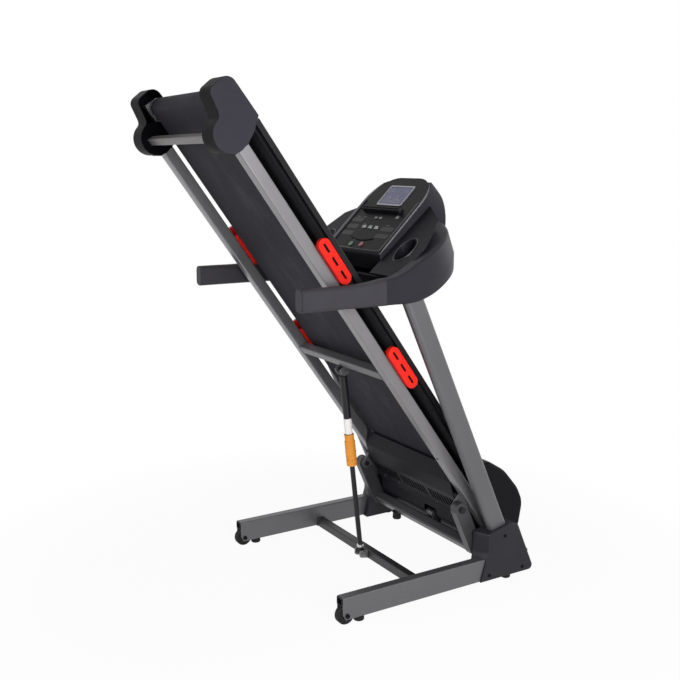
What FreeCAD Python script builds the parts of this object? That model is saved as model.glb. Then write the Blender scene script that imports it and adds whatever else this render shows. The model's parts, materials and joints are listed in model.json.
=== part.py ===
import FreeCAD
import Part
import math
import os

# Folding home treadmill, stood up in its folded position. Millimetres, +Z up,
# +X to the user's right, +Y from the user towards the console.

V = FreeCAD.Vector
os.makedirs("parts", exist_ok=True)

# ---- base frame ----
BASE_HALF = 350.0        # outer face of each base rail
RAIL_W = 32.0
RAIL_H = 70.0
RAIL_BOTTOM = 15.0
RAIL_LEN = 690.0
TUBE_WALL = 2.0
CROSS_Y = 299.0
CROSS_D = 29.0
CROSS_H = 29.0
WHEEL_R = 28.0
WHEEL_W = 21.0
WHEEL_Y = 15.0
WHEEL_LIFT = 0.6         # wheels only take load when the machine is tipped
AXLE_R = 4.0
FOOT_R = 16.0
REAR_FOOT_Y = 63.0
FRONT_FOOT_Y = 615.0
INSERT_LEN = 42.0
# ---- boots and uprights ----
BOOT_PROUD = 6.0
BOOT_W = 62.0
BOOT_OUT = BASE_HALF + BOOT_PROUD
BOOT_IN = BOOT_OUT - BOOT_W
SHELL = 3.0
UPRIGHT_W = 32.0
UPRIGHT_D = 64.0
UPRIGHT_INSET = 8.0      # outer face of the upright inside the rail face
UPRIGHT_IN = BASE_HALF - UPRIGHT_INSET - UPRIGHT_W
UPRIGHT_TILT = 24.25     # lean towards the user, from vertical
UPRIGHT_Y0 = 620.0       # rear edge carried down to the floor
UPRIGHT_TOP = 965.0
# ---- fold axis, lift frame and pivots ----
FOLD_Y = 530.0
FOLD_Z = 98.0
FOLD_ANGLE = 54.4
PIVOT_R = 8.0
PIVOT_GAP = 1.0
PLATE_T = 8.0
ARM_GAP = 4.0            # arm to boot
ARM_T = 28.0
ARM_OUT = BOOT_IN - ARM_GAP
ARM_IN = ARM_OUT - ARM_T
ARM_W = 46.0
LIFT_BOLT_A = -148.8
LIFT_BOLT_H = 30.0
LIFT_BOLT_R = 6.0
LIFT_TUBE = 34.0
RUN_FIT = 0.05
SIDE_FIT = 0.5
# ---- deck, local frame: a forward, h up, origin on the fold axis ----
DECK_TUBE_OUT = ARM_OUT - 14.0
DECK_TUBE_W = 35.0
DECK_TUBE_H = 36.0
DECK_TUBE_LOW = 68.0
DECK_REAR = -1519.0
DECK_FRONT = 30.0
REAR_BAR_A = DECK_REAR + 12.0
REAR_BAR = 22.0
FRONT_BAR_A = 4.0
MID_BAR_A = -667.0
MID_BAR = 28.0
BELT_SIDE = 26.0         # belt edge to the inside of the side tube
BELT_HALF = DECK_TUBE_OUT - DECK_TUBE_W - BELT_SIDE
BELT_T = 2.0
ROLLER_R = 25.7
ROLLER_GAP = 0.3
ROLLER_HALF = BELT_HALF + 3.0
ROLLER_AXLE_R = 7.5
ROLLER_H = DECK_TUBE_LOW + DECK_TUBE_H + 30.0
BRACKET_T = 20.0
BRACKET_A = 26.0
REAR_ROLLER_A = DECK_REAR - 50.0
FRONT_ROLLER_A = -160.0
BOARD_T = 18.0
BOARD_HALF = DECK_TUBE_OUT - 14.0
BOARD_REAR = DECK_REAR + 43.0
BOARD_FRONT = -205.0
FOOTRAIL_IN = BELT_HALF + 3.0
FOOTRAIL_OUT = DECK_TUBE_OUT + 8.0
FOOTRAIL_EDGE = ROLLER_H + ROLLER_R + ROLLER_GAP + BELT_T
FOOTRAIL_TOP = FOOTRAIL_EDGE + 8.0
FOOTRAIL_SKIRT = FOOTRAIL_EDGE - 16.0
FOOTRAIL_REAR = DECK_REAR + 29.0
FOOTRAIL_FRONT = -197.0
CUSHION_A = (-1061.0, -669.0)
CUSHION_L = 150.0
CUSHION_H = 38.0
CUSHION_OUT = DECK_TUBE_OUT + 14.0
CAP_OUT = DECK_TUBE_OUT + 16.0
CAP_IN = CAP_OUT - 70.0
CAP_WALL = 3.5
CAP_PLATE = 3.0
CAP_NECK_R = 18.0
CAP_LOBE_R = 49.0
CAP_LOBE_A = DECK_REAR + 14.0
CAP_LOBE_H = 72.0
HOOD_HALF = DECK_TUBE_OUT - 6.0
PAN_T = 3.0
PAN_HALF = DECK_TUBE_OUT - DECK_TUBE_W - 0.5
PAN_LOW = 49.0
PAN_LIP = 24.0           # underside of the pan where it passes over the cross tube
# ---- drive ----
MOTOR_A = -25.0
MOTOR_H = 152.0
MOTOR_R = 48.0
MOTOR_X0 = -150.0
MOTOR_X1 = -20.0
SHAFT_R = 7.0
PULLEY_X = -182.0
PULLEY_W = 16.0
MOTOR_PULLEY_R = 17.0
# ---- incline actuator ----
ACT_X = 46.0
ACT_M = (62.0, 160.0)
ACT_C = (-26.0, 27.0)
ACT_BODY_R = 20.0
ACT_TUBE_R = 12.0
ACT_SWING = 5.0          # room for the actuator to lean over its stroke
LIFT_SWING = 28.0
# ---- strut ----
STRUT_B = (283.0, 35.0)
STRUT_T = (-633.8, 63.0)
STRUT_R = 12.0
STRUT_ROD_R = 8.0
STRUT_SLEEVE_R = 17.0
STRUT_SLEEVE = (207.0, 312.0)
STRUT_EYE = 12.5
# ---- console and handlebar ----
PANEL_Y = 200.0
PANEL_Z = 985.0
PANEL_ANGLE = 44.6
POD_HALF = 160.0
POD_TOP = 380.0
POD_ARCH_R = 112.0
PANEL_T = 4.0
KEY_TRAVEL = 2.0
KEY_GAP = 0.4
WING_OUT = BASE_HALF
WING_STRAIGHT_Y = 270.0
WING_R = 200.0
GRIP_REAR = -122.0
GRIP_SEAM = 140.0
GRIP_W = 39.0
GRIP_LOW = 908.0
GRIP_H = 62.0
CUP_X = 231.0
CUP_Y = 284.0
CUP_R = 34.0
CUP_DEPTH = 62.0

ALL = {}


# ---- helpers ----
def box(x0, x1, y0, y1, z0, z1):
    return Part.makeBox(x1 - x0, y1 - y0, z1 - z0, V(x0, y0, z0))


def rod_x(x0, x1, y, z, r):
    return Part.makeCylinder(r, x1 - x0, V(x0, y, z), V(1, 0, 0))


def rod_between(p, q, r):
    d = q - p
    return Part.makeCylinder(r, d.Length, p, d)


def rounded(points, place):
    """Face through corners (u, v, r); each corner is rounded to its radius."""
    n = len(points)
    spans = []
    for i in range(n):
        p = V(points[i][0], points[i][1], 0)
        a = V(points[i - 1][0], points[i - 1][1], 0) - p
        b = V(points[(i + 1) % n][0], points[(i + 1) % n][1], 0) - p
        r = points[i][2]
        a.normalize()
        b.normalize()
        half = a.getAngle(b) / 2
        if r <= 0 or half > 1.565:
            spans.append((p, None, p))
            continue
        t = r / math.tan(half)
        mid = a + b
        mid.normalize()
        m = p + mid * (r / math.sin(half) - r)
        spans.append((p + a * t, m, p + b * t))
    edges = []
    for i in range(n):
        s, m, e = spans[i]
        if m is not None:
            edges.append(Part.Arc(place(s), place(m), place(e)).toShape())
        nxt = spans[(i + 1) % n][0]
        if (nxt - e).Length > 1e-6:
            edges.append(Part.LineSegment(place(e), place(nxt)).toShape())
    return Part.Face(Part.Wire(edges))


def prism_x(points, x0, x1):
    face = rounded(points, lambda p: V(x0, p.x, p.y))
    return face.extrude(V(x1 - x0, 0, 0))


def prism_z(points, z0, z1):
    face = rounded(points, lambda p: V(p.x, p.y, z0))
    return face.extrude(V(0, 0, z1 - z0))


def rect(u0, u1, v0, v1, r):
    return [(u0, v0, r), (u1, v0, r), (u1, v1, r), (u0, v1, r)]


def square_tube_x(x0, x1, y0, y1, z0, z1, wall, r):
    outer = prism_x(rect(y0, y1, z0, z1, r), x0, x1)
    ri = max(r - wall, 0.5)
    inner = prism_x(rect(y0 + wall, y1 - wall, z0 + wall, z1 - wall, ri), x0, x1)
    return outer.cut(inner)


def square_tube_y(x0, x1, z0, z1, y0, y1, wall, r):
    def solid(k, rr):
        pts = rect(x0 + k, x1 - k, z0 + k, z1 - k, rr)
        face = rounded(pts, lambda p: V(p.x, y0, p.y))
        return face.extrude(V(0, y1 - y0, 0))
    return solid(0, r).cut(solid(wall, max(r - wall, 0.5)))


def mirror(shape):
    return shape.mirror(V(0, 0, 0), V(1, 0, 0))


def pair(shape):
    return [shape, mirror(shape)]


def turn(shape, angle, y, z):
    s = shape.copy()
    s.rotate(V(0, y, z), V(1, 0, 0), angle)
    return s


def deck(shape):
    """Takes a shape from the deck's own frame to its folded place."""
    s = turn(shape, -FOLD_ANGLE, 0, 0)
    s.translate(V(0, FOLD_Y, FOLD_Z))
    return s


def deck_point(a, h):
    t = math.radians(-FOLD_ANGLE)
    y = FOLD_Y + a * math.cos(t) - h * math.sin(t)
    return y, FOLD_Z + a * math.sin(t) + h * math.cos(t)


def on_panel(shape):
    """Takes a shape from (across, along the panel, out of it) to its place."""
    s = turn(shape, PANEL_ANGLE, 0, 0)
    s.translate(V(0, PANEL_Y, PANEL_Z))
    return s


def node(name, *shapes):
    solids = []
    for s in shapes:
        group = s if isinstance(s, (list, tuple)) else [s]
        for g in group:
            solids.extend(g.Solids)
    ALL[name] = solids


# ---- base frame ----
RAIL_IN = BASE_HALF - RAIL_W
RAIL_TOP = RAIL_BOTTOM + RAIL_H
WHEEL_Z = WHEEL_R + WHEEL_LIFT


def base_rail():
    rail = square_tube_y(RAIL_IN, BASE_HALF, RAIL_BOTTOM, RAIL_TOP, 0, RAIL_LEN, TUBE_WALL, 4)
    slot = box(RAIL_IN + TUBE_WALL, BASE_HALF - TUBE_WALL, -1, WHEEL_Y + WHEEL_R + 6, 0, 40)
    corner = prism_x([(-1, 0, 0), (20, 0, 0), (-1, 36, 0)], RAIL_IN - 1, BASE_HALF + 1)
    hole = rod_x(RAIL_IN - 1, BASE_HALF + 1, WHEEL_Y, WHEEL_Z, AXLE_R)
    return rail.cut(slot).cut(corner).cut(hole)


def rail_insert():
    lo = WHEEL_Z + WHEEL_R + 3
    hi = RAIL_TOP - TUBE_WALL
    x0 = RAIL_IN + TUBE_WALL
    x1 = BASE_HALF - TUBE_WALL
    face = rounded(rect(x0, x1, lo, hi, TUBE_WALL), lambda p: V(p.x, -2.5, p.y))
    plug = face.extrude(V(0, INSERT_LEN + 2.5, 0))
    hollow = box(x0 + 3, x1 - 3, -3, INSERT_LEN - 4, lo + 3, hi - 3)
    return plug.cut(hollow)


def wheel():
    x = BASE_HALF - RAIL_W / 2
    disc = rod_x(x - WHEEL_W / 2, x + WHEEL_W / 2, WHEEL_Y, WHEEL_Z, WHEEL_R)
    disc = disc.makeFillet(2.5, [e for e in disc.Edges if e.Closed])
    return disc.cut(rod_x(x - 20, x + 20, WHEEL_Y, WHEEL_Z, AXLE_R + RUN_FIT))


def wheel_axle():
    shaft = rod_x(RAIL_IN, BASE_HALF, WHEEL_Y, WHEEL_Z, AXLE_R)
    head = rod_x(BASE_HALF, BASE_HALF + 4, WHEEL_Y, WHEEL_Z, AXLE_R + 3)
    nut = rod_x(RAIL_IN - 4, RAIL_IN, WHEEL_Y, WHEEL_Z, AXLE_R + 3)
    return shaft.fuse([head, nut]).removeSplitter()


def foot(y, r):
    x = BASE_HALF - RAIL_W / 2
    pad = Part.makeCylinder(r, RAIL_BOTTOM, V(x, y, 0))
    return pad.makeFillet(4, [e for e in pad.Edges if e.Closed and e.BoundBox.ZMax < 1])


node("base_rail_right", base_rail())
node("base_rail_left", mirror(base_rail()))
node("rail_end_inserts", pair(rail_insert()))
node("base_wheel_right", wheel())
node("base_wheel_left", mirror(wheel()))
node("base_feet", pair(foot(REAR_FOOT_Y, FOOT_R)), pair(foot(FRONT_FOOT_Y, FOOT_R - 1)))
node("base_crossbar", square_tube_x(-RAIL_IN, RAIL_IN, CROSS_Y, CROSS_Y + CROSS_D,
                                    RAIL_BOTTOM, RAIL_BOTTOM + CROSS_H, TUBE_WALL, 4))


def strut_bracket():
    y, z = STRUT_B
    x0 = STRUT_EYE + SIDE_FIT
    cheek = prism_x([(y - 14, z - 12, 8), (CROSS_Y, z - 18, 0), (CROSS_Y, z + 9, 0),
                     (y - 14, z + 12, 8)], x0, x0 + 4)
    back = box(-x0 - 1, x0 + 1, CROSS_Y - 3, CROSS_Y, z - 18, z + 9)
    pin = rod_x(-x0 - 9, x0 + 9, y, z, 5)
    heads = [rod_x(x0 + 4, x0 + 9, y, z, 8), rod_x(-x0 - 9, -x0 - 4, y, z, 8)]
    return back.fuse([cheek, mirror(cheek), pin] + heads).removeSplitter()


node("strut_bracket", strut_bracket())


# ---- uprights, pivots, boots ----
def upright_solid(k, r):
    pts = rect(UPRIGHT_IN + k, UPRIGHT_IN + UPRIGHT_W - k, k, UPRIGHT_D - k, r)
    s = prism_z(pts, -100, 1200)
    s = turn(s, UPRIGHT_TILT, 0, 0)
    s.translate(V(0, UPRIGHT_Y0, 0))
    return s


def upright():
    tube = upright_solid(0, 14).cut(upright_solid(TUBE_WALL, 12))
    keep = box(0, 400, -200, 900, RAIL_TOP, UPRIGHT_TOP)
    return tube.common(keep)


def fold_pivot():
    x1 = UPRIGHT_IN
    x0 = x1 - PLATE_T
    y0 = FOLD_Y - PIVOT_R - 4
    plate = prism_x([(y0, 66, 10), (640, 66, 6), (640, 150, 20), (560, 150, 20), (y0, 124, 20)],
                    x0, x1)
    foot_block = box(x1, RAIL_IN, 560, 640, 66, RAIL_TOP)
    pin = rod_x(ARM_OUT + PIVOT_GAP, x0 + 1, FOLD_Y, FOLD_Z, PIVOT_R)
    return plate.fuse([foot_block, pin]).removeSplitter()


# side outlines of the boot, on its outer and on its inner face
BOOT = [(497, 15, 0), (714, 15, 14), (641, 179, 10), (606, 185, 8), (525, 167, 8), (524, 105, 30)]
BOOT_INNER = BOOT[:4] + [(510, 162, 8), (510, 96, 30)]


def boot_block(k):
    """Solid between the two side outlines, drawn in by k on every side."""
    wires = []
    for outline, x in ((BOOT_INNER, BOOT_IN + k), (BOOT, BOOT_OUT - k)):
        face = rounded(outline, lambda p: V(x, p.x, p.y))
        if k:
            face = face.makeOffset2D(-k)
        wires.append(face.OuterWire)
    return Part.makeLoft(wires, True, True)


def boot():
    outer = boot_block(0)
    edges = [e for e in outer.Edges if e.BoundBox.XMin > BOOT_OUT - 1e-3]
    solid = outer.makeFillet(SHELL - 0.6, edges).cut(boot_block(SHELL))
    rail = box(RAIL_IN, BASE_HALF, 480, RAIL_LEN, 0, RAIL_TOP)
    low = box(RAIL_IN, BASE_HALF, 480, RAIL_LEN, 0, RAIL_BOTTOM + 6)
    hole = rod_x(BOOT_IN - 1, BOOT_IN + 10, FOLD_Y, FOLD_Z, PIVOT_R + 3)
    top = upright_solid(0, 14).common(box(0, 400, 300, 900, 120, 400))
    return solid.cut(rail).cut(low).cut(hole).cut(top)


def boot_screws():
    out = []
    for y, z in ((589, 150), (665, 31), (530, 32)):
        head = rod_x(BOOT_OUT, BOOT_OUT + 1.6, y, z, 5.5)
        slot = box(BOOT_OUT + 0.8, BOOT_OUT + 3, y - 4, y + 4, z - 0.7, z + 0.7)
        cross = box(BOOT_OUT + 0.8, BOOT_OUT + 3, y - 0.7, y + 0.7, z - 4, z + 4)
        out.extend(pair(head.cut(slot).cut(cross)))
    return out


node("upright_right", upright())
node("upright_left", mirror(upright()))
node("fold_pivots", pair(fold_pivot()))
node("boot_right", boot())
node("boot_left", mirror(boot()))
node("base_fasteners", boot_screws(), pair(wheel_axle()))


# ---- handlebar and console shoulders: one U-shaped moulding with two grips ----
def section(k, station):
    """Closed section of the U: station gives (place, width, low, high, lean, radius)."""
    place, width, low, high, lean, r = station
    zm = low + (high - low) * 0.42
    pts = [(k, low + k, r), (0 + k, zm, r), (lean + k, high - k, r),
           (width - k, high - k, r), (width - k, low + k, r)]
    return rounded(pts, place).OuterWire


def straight(y):
    return lambda p: V(WING_OUT - p.x, y, p.y)


def turned(angle):
    t = math.radians(angle)
    cx = WING_OUT - WING_R

    def place(p):
        r = WING_R - p.x
        return V(cx + r * math.cos(t), WING_STRAIGHT_Y + r * math.sin(t), p.y)
    return place


def ahead(x):
    return lambda p: V(x, WING_STRAIGHT_Y + WING_R - p.x, p.y)


WING = [
    (straight(GRIP_SEAM), 43, 908, 982, 2, 9),
    (straight(200), 50, 908, 994, 4, 10),
    (straight(WING_STRAIGHT_Y), 68, 916, 1030, 8, 12),
    (turned(30), 84, 955, 1076, 14, 12),
    (turned(60), 94, 990, 1110, 22, 12),
    (turned(90), 98, 1012, 1126, 26, 12),
    (ahead(0), 98, 1020, 1130, 28, 12),
]


def wing_solid(k):
    half = Part.makeLoft([section(k, s) for s in WING], True, False)
    return half.fuse(mirror(half)).removeSplitter()


def grip(k):
    stations = [
        (straight(GRIP_REAR + k), GRIP_W, GRIP_LOW, GRIP_LOW + GRIP_H, 1, 13),
        (straight(0), GRIP_W + 0.5, GRIP_LOW, GRIP_LOW + GRIP_H, 1, 13),
        (straight(60), GRIP_W + 1.5, GRIP_LOW, GRIP_LOW + 64, 1, 12),
        (straight(GRIP_SEAM), 43, 908, 982, 2, 9),
    ]
    return Part.makeLoft([section(k, s) for s in stations], True, False)


WING_OUTER = wing_solid(0)
WING_INNER = wing_solid(SHELL)
WING_CLEAR = wing_solid(-0.3)
BAR_Y = 243.0
BAR_Z = 945.0
BAR_D = 30.0
BAR_H = 20.0
UPRIGHT_PASS = upright_solid(0, 14)


def console_cowl():
    shell = WING_OUTER.cut(WING_INNER)
    shell = shell.cut(UPRIGHT_PASS.common(box(0, 400, 0, 600, 850, UPRIGHT_TOP)))
    shell = shell.cut(mirror(UPRIGHT_PASS).common(box(-400, 0, 0, 600, 850, UPRIGHT_TOP)))
    return shell.cut(box(-UPRIGHT_IN, UPRIGHT_IN, BAR_Y, BAR_Y + BAR_D, BAR_Z, BAR_Z + BAR_H))


def handle_grip():
    shell = grip(0).cut(grip(SHELL + 1))
    cap = section(0, (straight(GRIP_REAR), GRIP_W, GRIP_LOW, GRIP_LOW + GRIP_H, 1, 13))
    disc = Part.Face(cap).makeOffset2D(-3).extrude(V(0, -2.5, 0))
    return [shell, disc]


# ---- console pod ----
def panel_point(p):
    t = math.radians(PANEL_ANGLE)
    return PANEL_Y + p * math.cos(t), PANEL_Z + p * math.sin(t)


LIP = panel_point(58)
CREST = panel_point(POD_TOP + 6)
POD = [
    (LIP[0], LIP[1], 10),
    (CREST[0], CREST[1], 26),
    (497, 1190, 40),
    (480, 1090, 0),
    (400, 1012, 0),
    (LIP[0] + 14, 975, 8),
]


def pod_front(k):
    """Arched outline of the pod, seen square on to the panel, through its whole depth."""
    w = POD_HALF - k
    arch = rounded([(-w, -80, 0), (w, -80, 0), (w, POD_TOP - k, POD_ARCH_R - k),
                    (-w, POD_TOP - k, POD_ARCH_R - k)], lambda p: V(p.x, p.y, -300))
    return on_panel(arch.extrude(V(0, 0, 400)))


def pod_outer():
    return prism_x(POD, -POD_HALF, POD_HALF).common(pod_front(0))


def console_housing():
    outer = pod_outer()
    face = rounded(POD, lambda p: V(-POD_HALF + SHELL, p.x, p.y)).makeOffset2D(-SHELL)
    inner = face.extrude(V(2 * POD_HALF - 2 * SHELL, 0, 0)).common(pod_front(SHELL))
    shell = outer.cut(inner)
    opening = on_panel(prism_z(PANEL_SHAPE, -20, 20))
    return shell.cut(opening).cut(WING_CLEAR)


PANEL_HALF = POD_HALF - 7
PANEL_EDGE = POD_HALF - PANEL_HALF
PANEL_SHAPE = [(-PANEL_HALF, 68, 6), (PANEL_HALF, 68, 6),
               (PANEL_HALF, POD_TOP - PANEL_EDGE - 4, POD_ARCH_R - PANEL_EDGE),
               (-PANEL_HALF, POD_TOP - PANEL_EDGE - 4, POD_ARCH_R - PANEL_EDGE)]
# name, across, along, half width, half height, round?
KEYS = [
    ("key_start", -31, 87, 9, 9, True),
    ("key_stop", 25, 90, 9, 9, True),
    ("key_quick_1", -35, 159, 8, 6, False),
    ("key_quick_2", -1, 159, 8, 6, False),
    ("key_quick_3", 33, 159, 8, 6, False),
    ("key_speed_down", -9, 198, 7, 4, False),
    ("key_speed_up", 16, 198, 7, 4, False),
    ("key_mode", 99, 206, 7, 7, True),
]
KEY_PROUD = 2.6
KEY_LEG = 7.0
SCREEN_HALF = 67.0
SCREEN = (251.0, 335.0)
FRAME_W = 6.0
LEDGE = (221.0, 239.0)
TRIM_X = 144.0
TRIM_W = 9.0


def key_prism(key, grow, q0, q1):
    name, x, p, w, h, is_round = key
    if is_round:
        s = Part.makeCylinder(w + grow, q1 - q0, V(x, p, q0))
    else:
        s = prism_z(rect(x - w - grow, x + w + grow, p - h - grow, p + h + grow, 3), q0, q1)
    return on_panel(s)


def key_solid(key):
    cap = key_prism(key, 0, -KEY_LEG, KEY_PROUD)
    flange = key_prism(key, 2, -KEY_LEG, -KEY_LEG + 1.0)
    return cap.fuse(flange).removeSplitter()


def console_panel():
    plate = on_panel(prism_z(PANEL_SHAPE, -PANEL_T, 0))
    for key in KEYS:
        plate = plate.cut(key_prism(key, KEY_GAP, -20, 20))
    window = on_panel(prism_z(rect(-SCREEN_HALF, SCREEN_HALF, SCREEN[0], SCREEN[1], 8), -20, 20))
    return plate.cut(window)


def display_window():
    inside = rect(-SCREEN_HALF + FRAME_W, SCREEN_HALF - FRAME_W, SCREEN[0] + FRAME_W,
                  SCREEN[1] - FRAME_W, 4)
    return on_panel(prism_z(inside, -PANEL_T, 1.0))


def display_frame():
    ring = prism_z(rect(-SCREEN_HALF, SCREEN_HALF, SCREEN[0], SCREEN[1], 8), -PANEL_T, 2.5)
    hole = prism_z(rect(-SCREEN_HALF + FRAME_W, SCREEN_HALF - FRAME_W, SCREEN[0] + FRAME_W,
                        SCREEN[1] - FRAME_W, 4), -20, 20)
    return on_panel(ring.cut(hole))


def side_trim():
    strip = prism_z([(TRIM_X - 4, 72, 3), (TRIM_X + 5, 72, 3), (TRIM_X + 5, 268, 3),
                     (TRIM_X - 4, 272, 3)], 0, 3)
    return on_panel(strip)


def tablet_ledge():
    x0, x1 = -107, 95
    lip = prism_x([(LEDGE[0], 0, 0), (LEDGE[1], 0, 0), (LEDGE[1], 5, 0), (LEDGE[0] + 7, 6, 2),
                   (LEDGE[0] + 6, 15, 2), (LEDGE[0], 15, 2)], x0, x1)
    return on_panel(lip)


def console_board():
    board = box(-95, 110, 76, 342, -14, -12.4)
    posts = []
    for x in (-90, 104):
        for p in (80, 338):
            posts.append(Part.makeCylinder(3, 12.4 - PANEL_T, V(x, p, -12.4)))
    return on_panel(board.fuse(posts).removeSplitter())


def tray_outline(grow):
    """Plan of the shoulder tray between the pod and the inside of the moulding."""
    x1 = UPRIGHT_IN
    r = WING_R - 48 + grow
    cx = WING_OUT - WING_R
    pts = [V(POD_HALF, 206, 0), V(x1, 206, 0), V(x1, WING_STRAIGHT_Y + 30, 0),
           V(cx + r * 0.72, WING_STRAIGHT_Y + r * 0.72, 0), V(POD_HALF, WING_STRAIGHT_Y + r, 0)]
    return Part.Face(Part.makePolygon(pts + [pts[0]]))


def tray_sheet(drop, thick):
    t = math.radians(41)
    sheet = box(-400, 400, -200, 400, -thick - drop, -drop)
    sheet = turn(sheet, 41, 0, 0)
    sheet.translate(V(0, CUP_Y, 1046))
    return sheet


def console_tray():
    plan = tray_outline(0).extrude(V(0, 0, 1400)).common(tray_sheet(0, SHELL))
    plan = plan.cut(WING_CLEAR)
    well = Part.makeCylinder(CUP_R, 300, V(CUP_X, CUP_Y, 900))
    pieces = sorted(plan.cut(well).Solids, key=lambda s: s.Volume)
    return pieces[-1]


def cup_holder():
    z1 = 1046 + 45
    z0 = 1046 - CUP_DEPTH
    cup = Part.makeCylinder(CUP_R, z1 - z0, V(CUP_X, CUP_Y, z0))
    bore = Part.makeCylinder(CUP_R - 2, z1 - z0, V(CUP_X, CUP_Y, z0 + 2.5))
    above = tray_sheet(-300, 299)
    return cup.cut(bore).cut(above)


def console_underside():
    """Closed belly below the pod and the two trays."""
    outline = [(214, 970, 4), (232, 936, 10), (330, 940, 30), (452, 1022, 10), (452, 1060, 0),
               (330, 1000, 0), (262, 972, 0)]
    x1 = UPRIGHT_IN - 11
    solid = prism_x(outline, -x1, x1)
    bore = prism_x([(224, 962, 2), (236, 942, 6), (326, 945, 20), (440, 1021, 4), (440, 1090, 0),
                    (326, 1020, 0), (232, 1000, 0)], -x1 + 3, x1 - 3)
    belly = solid.cut(bore).cut(WING_CLEAR).cut(pod_outer())
    belly = belly.cut(console_tray()).cut(mirror(console_tray()))
    belly = belly.cut(cup_pass()).cut(mirror(cup_pass()))
    pieces = sorted(belly.Solids, key=lambda s: s.Volume)
    return pieces[-1]


def cup_pass():
    return Part.makeCylinder(CUP_R, 200, V(CUP_X, CUP_Y, 1046 - CUP_DEPTH))


node("console_cowl", console_cowl())
node("handle_grips", [s for g in handle_grip() for s in pair(g)])
node("console_housing", console_housing())
node("console_panel", console_panel())
node("display_window", display_window())
node("console_trims", pair(side_trim()), display_frame())
node("tablet_ledge", tablet_ledge())
node("console_board", console_board())
node("console_trays", pair(console_tray()))
node("cup_holders", pair(cup_holder()))
node("console_underside", console_underside())
for key in KEYS:
    node(key[0], key_solid(key))


def console_crossbar():
    return square_tube_x(-UPRIGHT_IN, UPRIGHT_IN, BAR_Y, BAR_Y + BAR_D, BAR_Z, BAR_Z + BAR_H,
                         TUBE_WALL, 3)


# ---- deck ----
TUBE_TOP = DECK_TUBE_LOW + DECK_TUBE_H
TUBE_IN = DECK_TUBE_OUT - DECK_TUBE_W
BELT_R = ROLLER_R + ROLLER_GAP
BELT_TOP = ROLLER_H + BELT_R + BELT_T
BOARD_TOP = ROLLER_H + BELT_R
BOARD_LOW = BOARD_TOP - BOARD_T


def deck_tube():
    return square_tube_y(TUBE_IN, DECK_TUBE_OUT, DECK_TUBE_LOW, TUBE_TOP, DECK_REAR, DECK_FRONT,
                         TUBE_WALL, 4)


def deck_end_bars():
    hb = REAR_BAR / 2
    rear = square_tube_x(-DECK_TUBE_OUT, DECK_TUBE_OUT, REAR_BAR_A - hb, REAR_BAR_A + hb,
                         DECK_TUBE_LOW - REAR_BAR, DECK_TUBE_LOW, TUBE_WALL, 4)
    front = square_tube_x(-TUBE_IN, TUBE_IN, FRONT_BAR_A - 12, FRONT_BAR_A + 12,
                          DECK_TUBE_LOW + 4, TUBE_TOP, TUBE_WALL, 4)
    slot = box(ACT_X - ACT_BODY_R - 6, ACT_X + ACT_BODY_R + 6, -60, 60, 40, 200)
    return [rear, front.cut(slot)]


def deck_mid_bar():
    hb = MID_BAR / 2
    bar = square_tube_x(-TUBE_IN, TUBE_IN, MID_BAR_A - hb, MID_BAR_A + hb, DECK_TUBE_LOW,
                        DECK_TUBE_LOW + MID_BAR, TUBE_WALL, 4)
    a, h = STRUT_T
    x0 = STRUT_EYE + SIDE_FIT
    edge = MID_BAR_A + hb
    ear = prism_x([(edge, h - 10, 0), (a + 4, h - 14, 10), (a + 14, h + 14, 10),
                   (edge, DECK_TUBE_LOW + MID_BAR - 4, 0)], x0, x0 + 4)
    bolt = rod_x(x0 + 4, x0 + 9, a, h, 7)
    ears = ear.fuse(bolt)
    return bar.fuse([ears, mirror(ears)]).removeSplitter()


def lift_ear():
    x1 = ARM_IN - SIDE_FIT
    plate = prism_x([(LIFT_BOLT_A - 26, DECK_TUBE_LOW, 0), (LIFT_BOLT_A - 13, LIFT_BOLT_H - 14, 12),
                     (LIFT_BOLT_A + 13, LIFT_BOLT_H - 14, 12), (LIFT_BOLT_A + 26, DECK_TUBE_LOW, 0)],
                    x1 - 8, x1)
    return plate.cut(rod_x(x1 - 9, x1 + 1, LIFT_BOLT_A, LIFT_BOLT_H, LIFT_BOLT_R))


def lift_bolt():
    x1 = ARM_OUT + 1
    shank = rod_x(ARM_IN - SIDE_FIT - 8, x1, LIFT_BOLT_A, LIFT_BOLT_H, LIFT_BOLT_R)
    head = rod_x(x1, x1 + 6, LIFT_BOLT_A, LIFT_BOLT_H, 10)
    nut = rod_x(ARM_IN - SIDE_FIT - 14, ARM_IN - SIDE_FIT - 8, LIFT_BOLT_A, LIFT_BOLT_H, 9)
    return shank.fuse([head, nut]).removeSplitter()


def roller_bracket(a0, a1, a_axle):
    x0 = TUBE_IN
    x1 = TUBE_IN + BRACKET_T
    block = prism_x(rect(a0, a1, TUBE_TOP, ROLLER_H + 14, 3), x0, x1)
    return block.cut(rod_x(x0 - 1, x1 + 1, a_axle, ROLLER_H, ROLLER_AXLE_R))


def roller_axle(a):
    return rod_x(-TUBE_IN - BRACKET_T, TUBE_IN + BRACKET_T, a, ROLLER_H, ROLLER_AXLE_R)


def axle_screw():
    return rod_x(TUBE_IN - 5, TUBE_IN, DECK_REAR + 25, ROLLER_H - 12, 6)


def roller(a, pulley):
    body = rod_x(-ROLLER_HALF, ROLLER_HALF, a, ROLLER_H, ROLLER_R)
    if pulley:
        x0 = PULLEY_X - PULLEY_W
        body = body.fuse(rod_x(-ROLLER_HALF - 14, -ROLLER_HALF, a, ROLLER_H, ROLLER_R - 1.5))
        body = body.removeSplitter()
    return body.cut(rod_x(-400, 400, a, ROLLER_H, ROLLER_AXLE_R + RUN_FIT))


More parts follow.
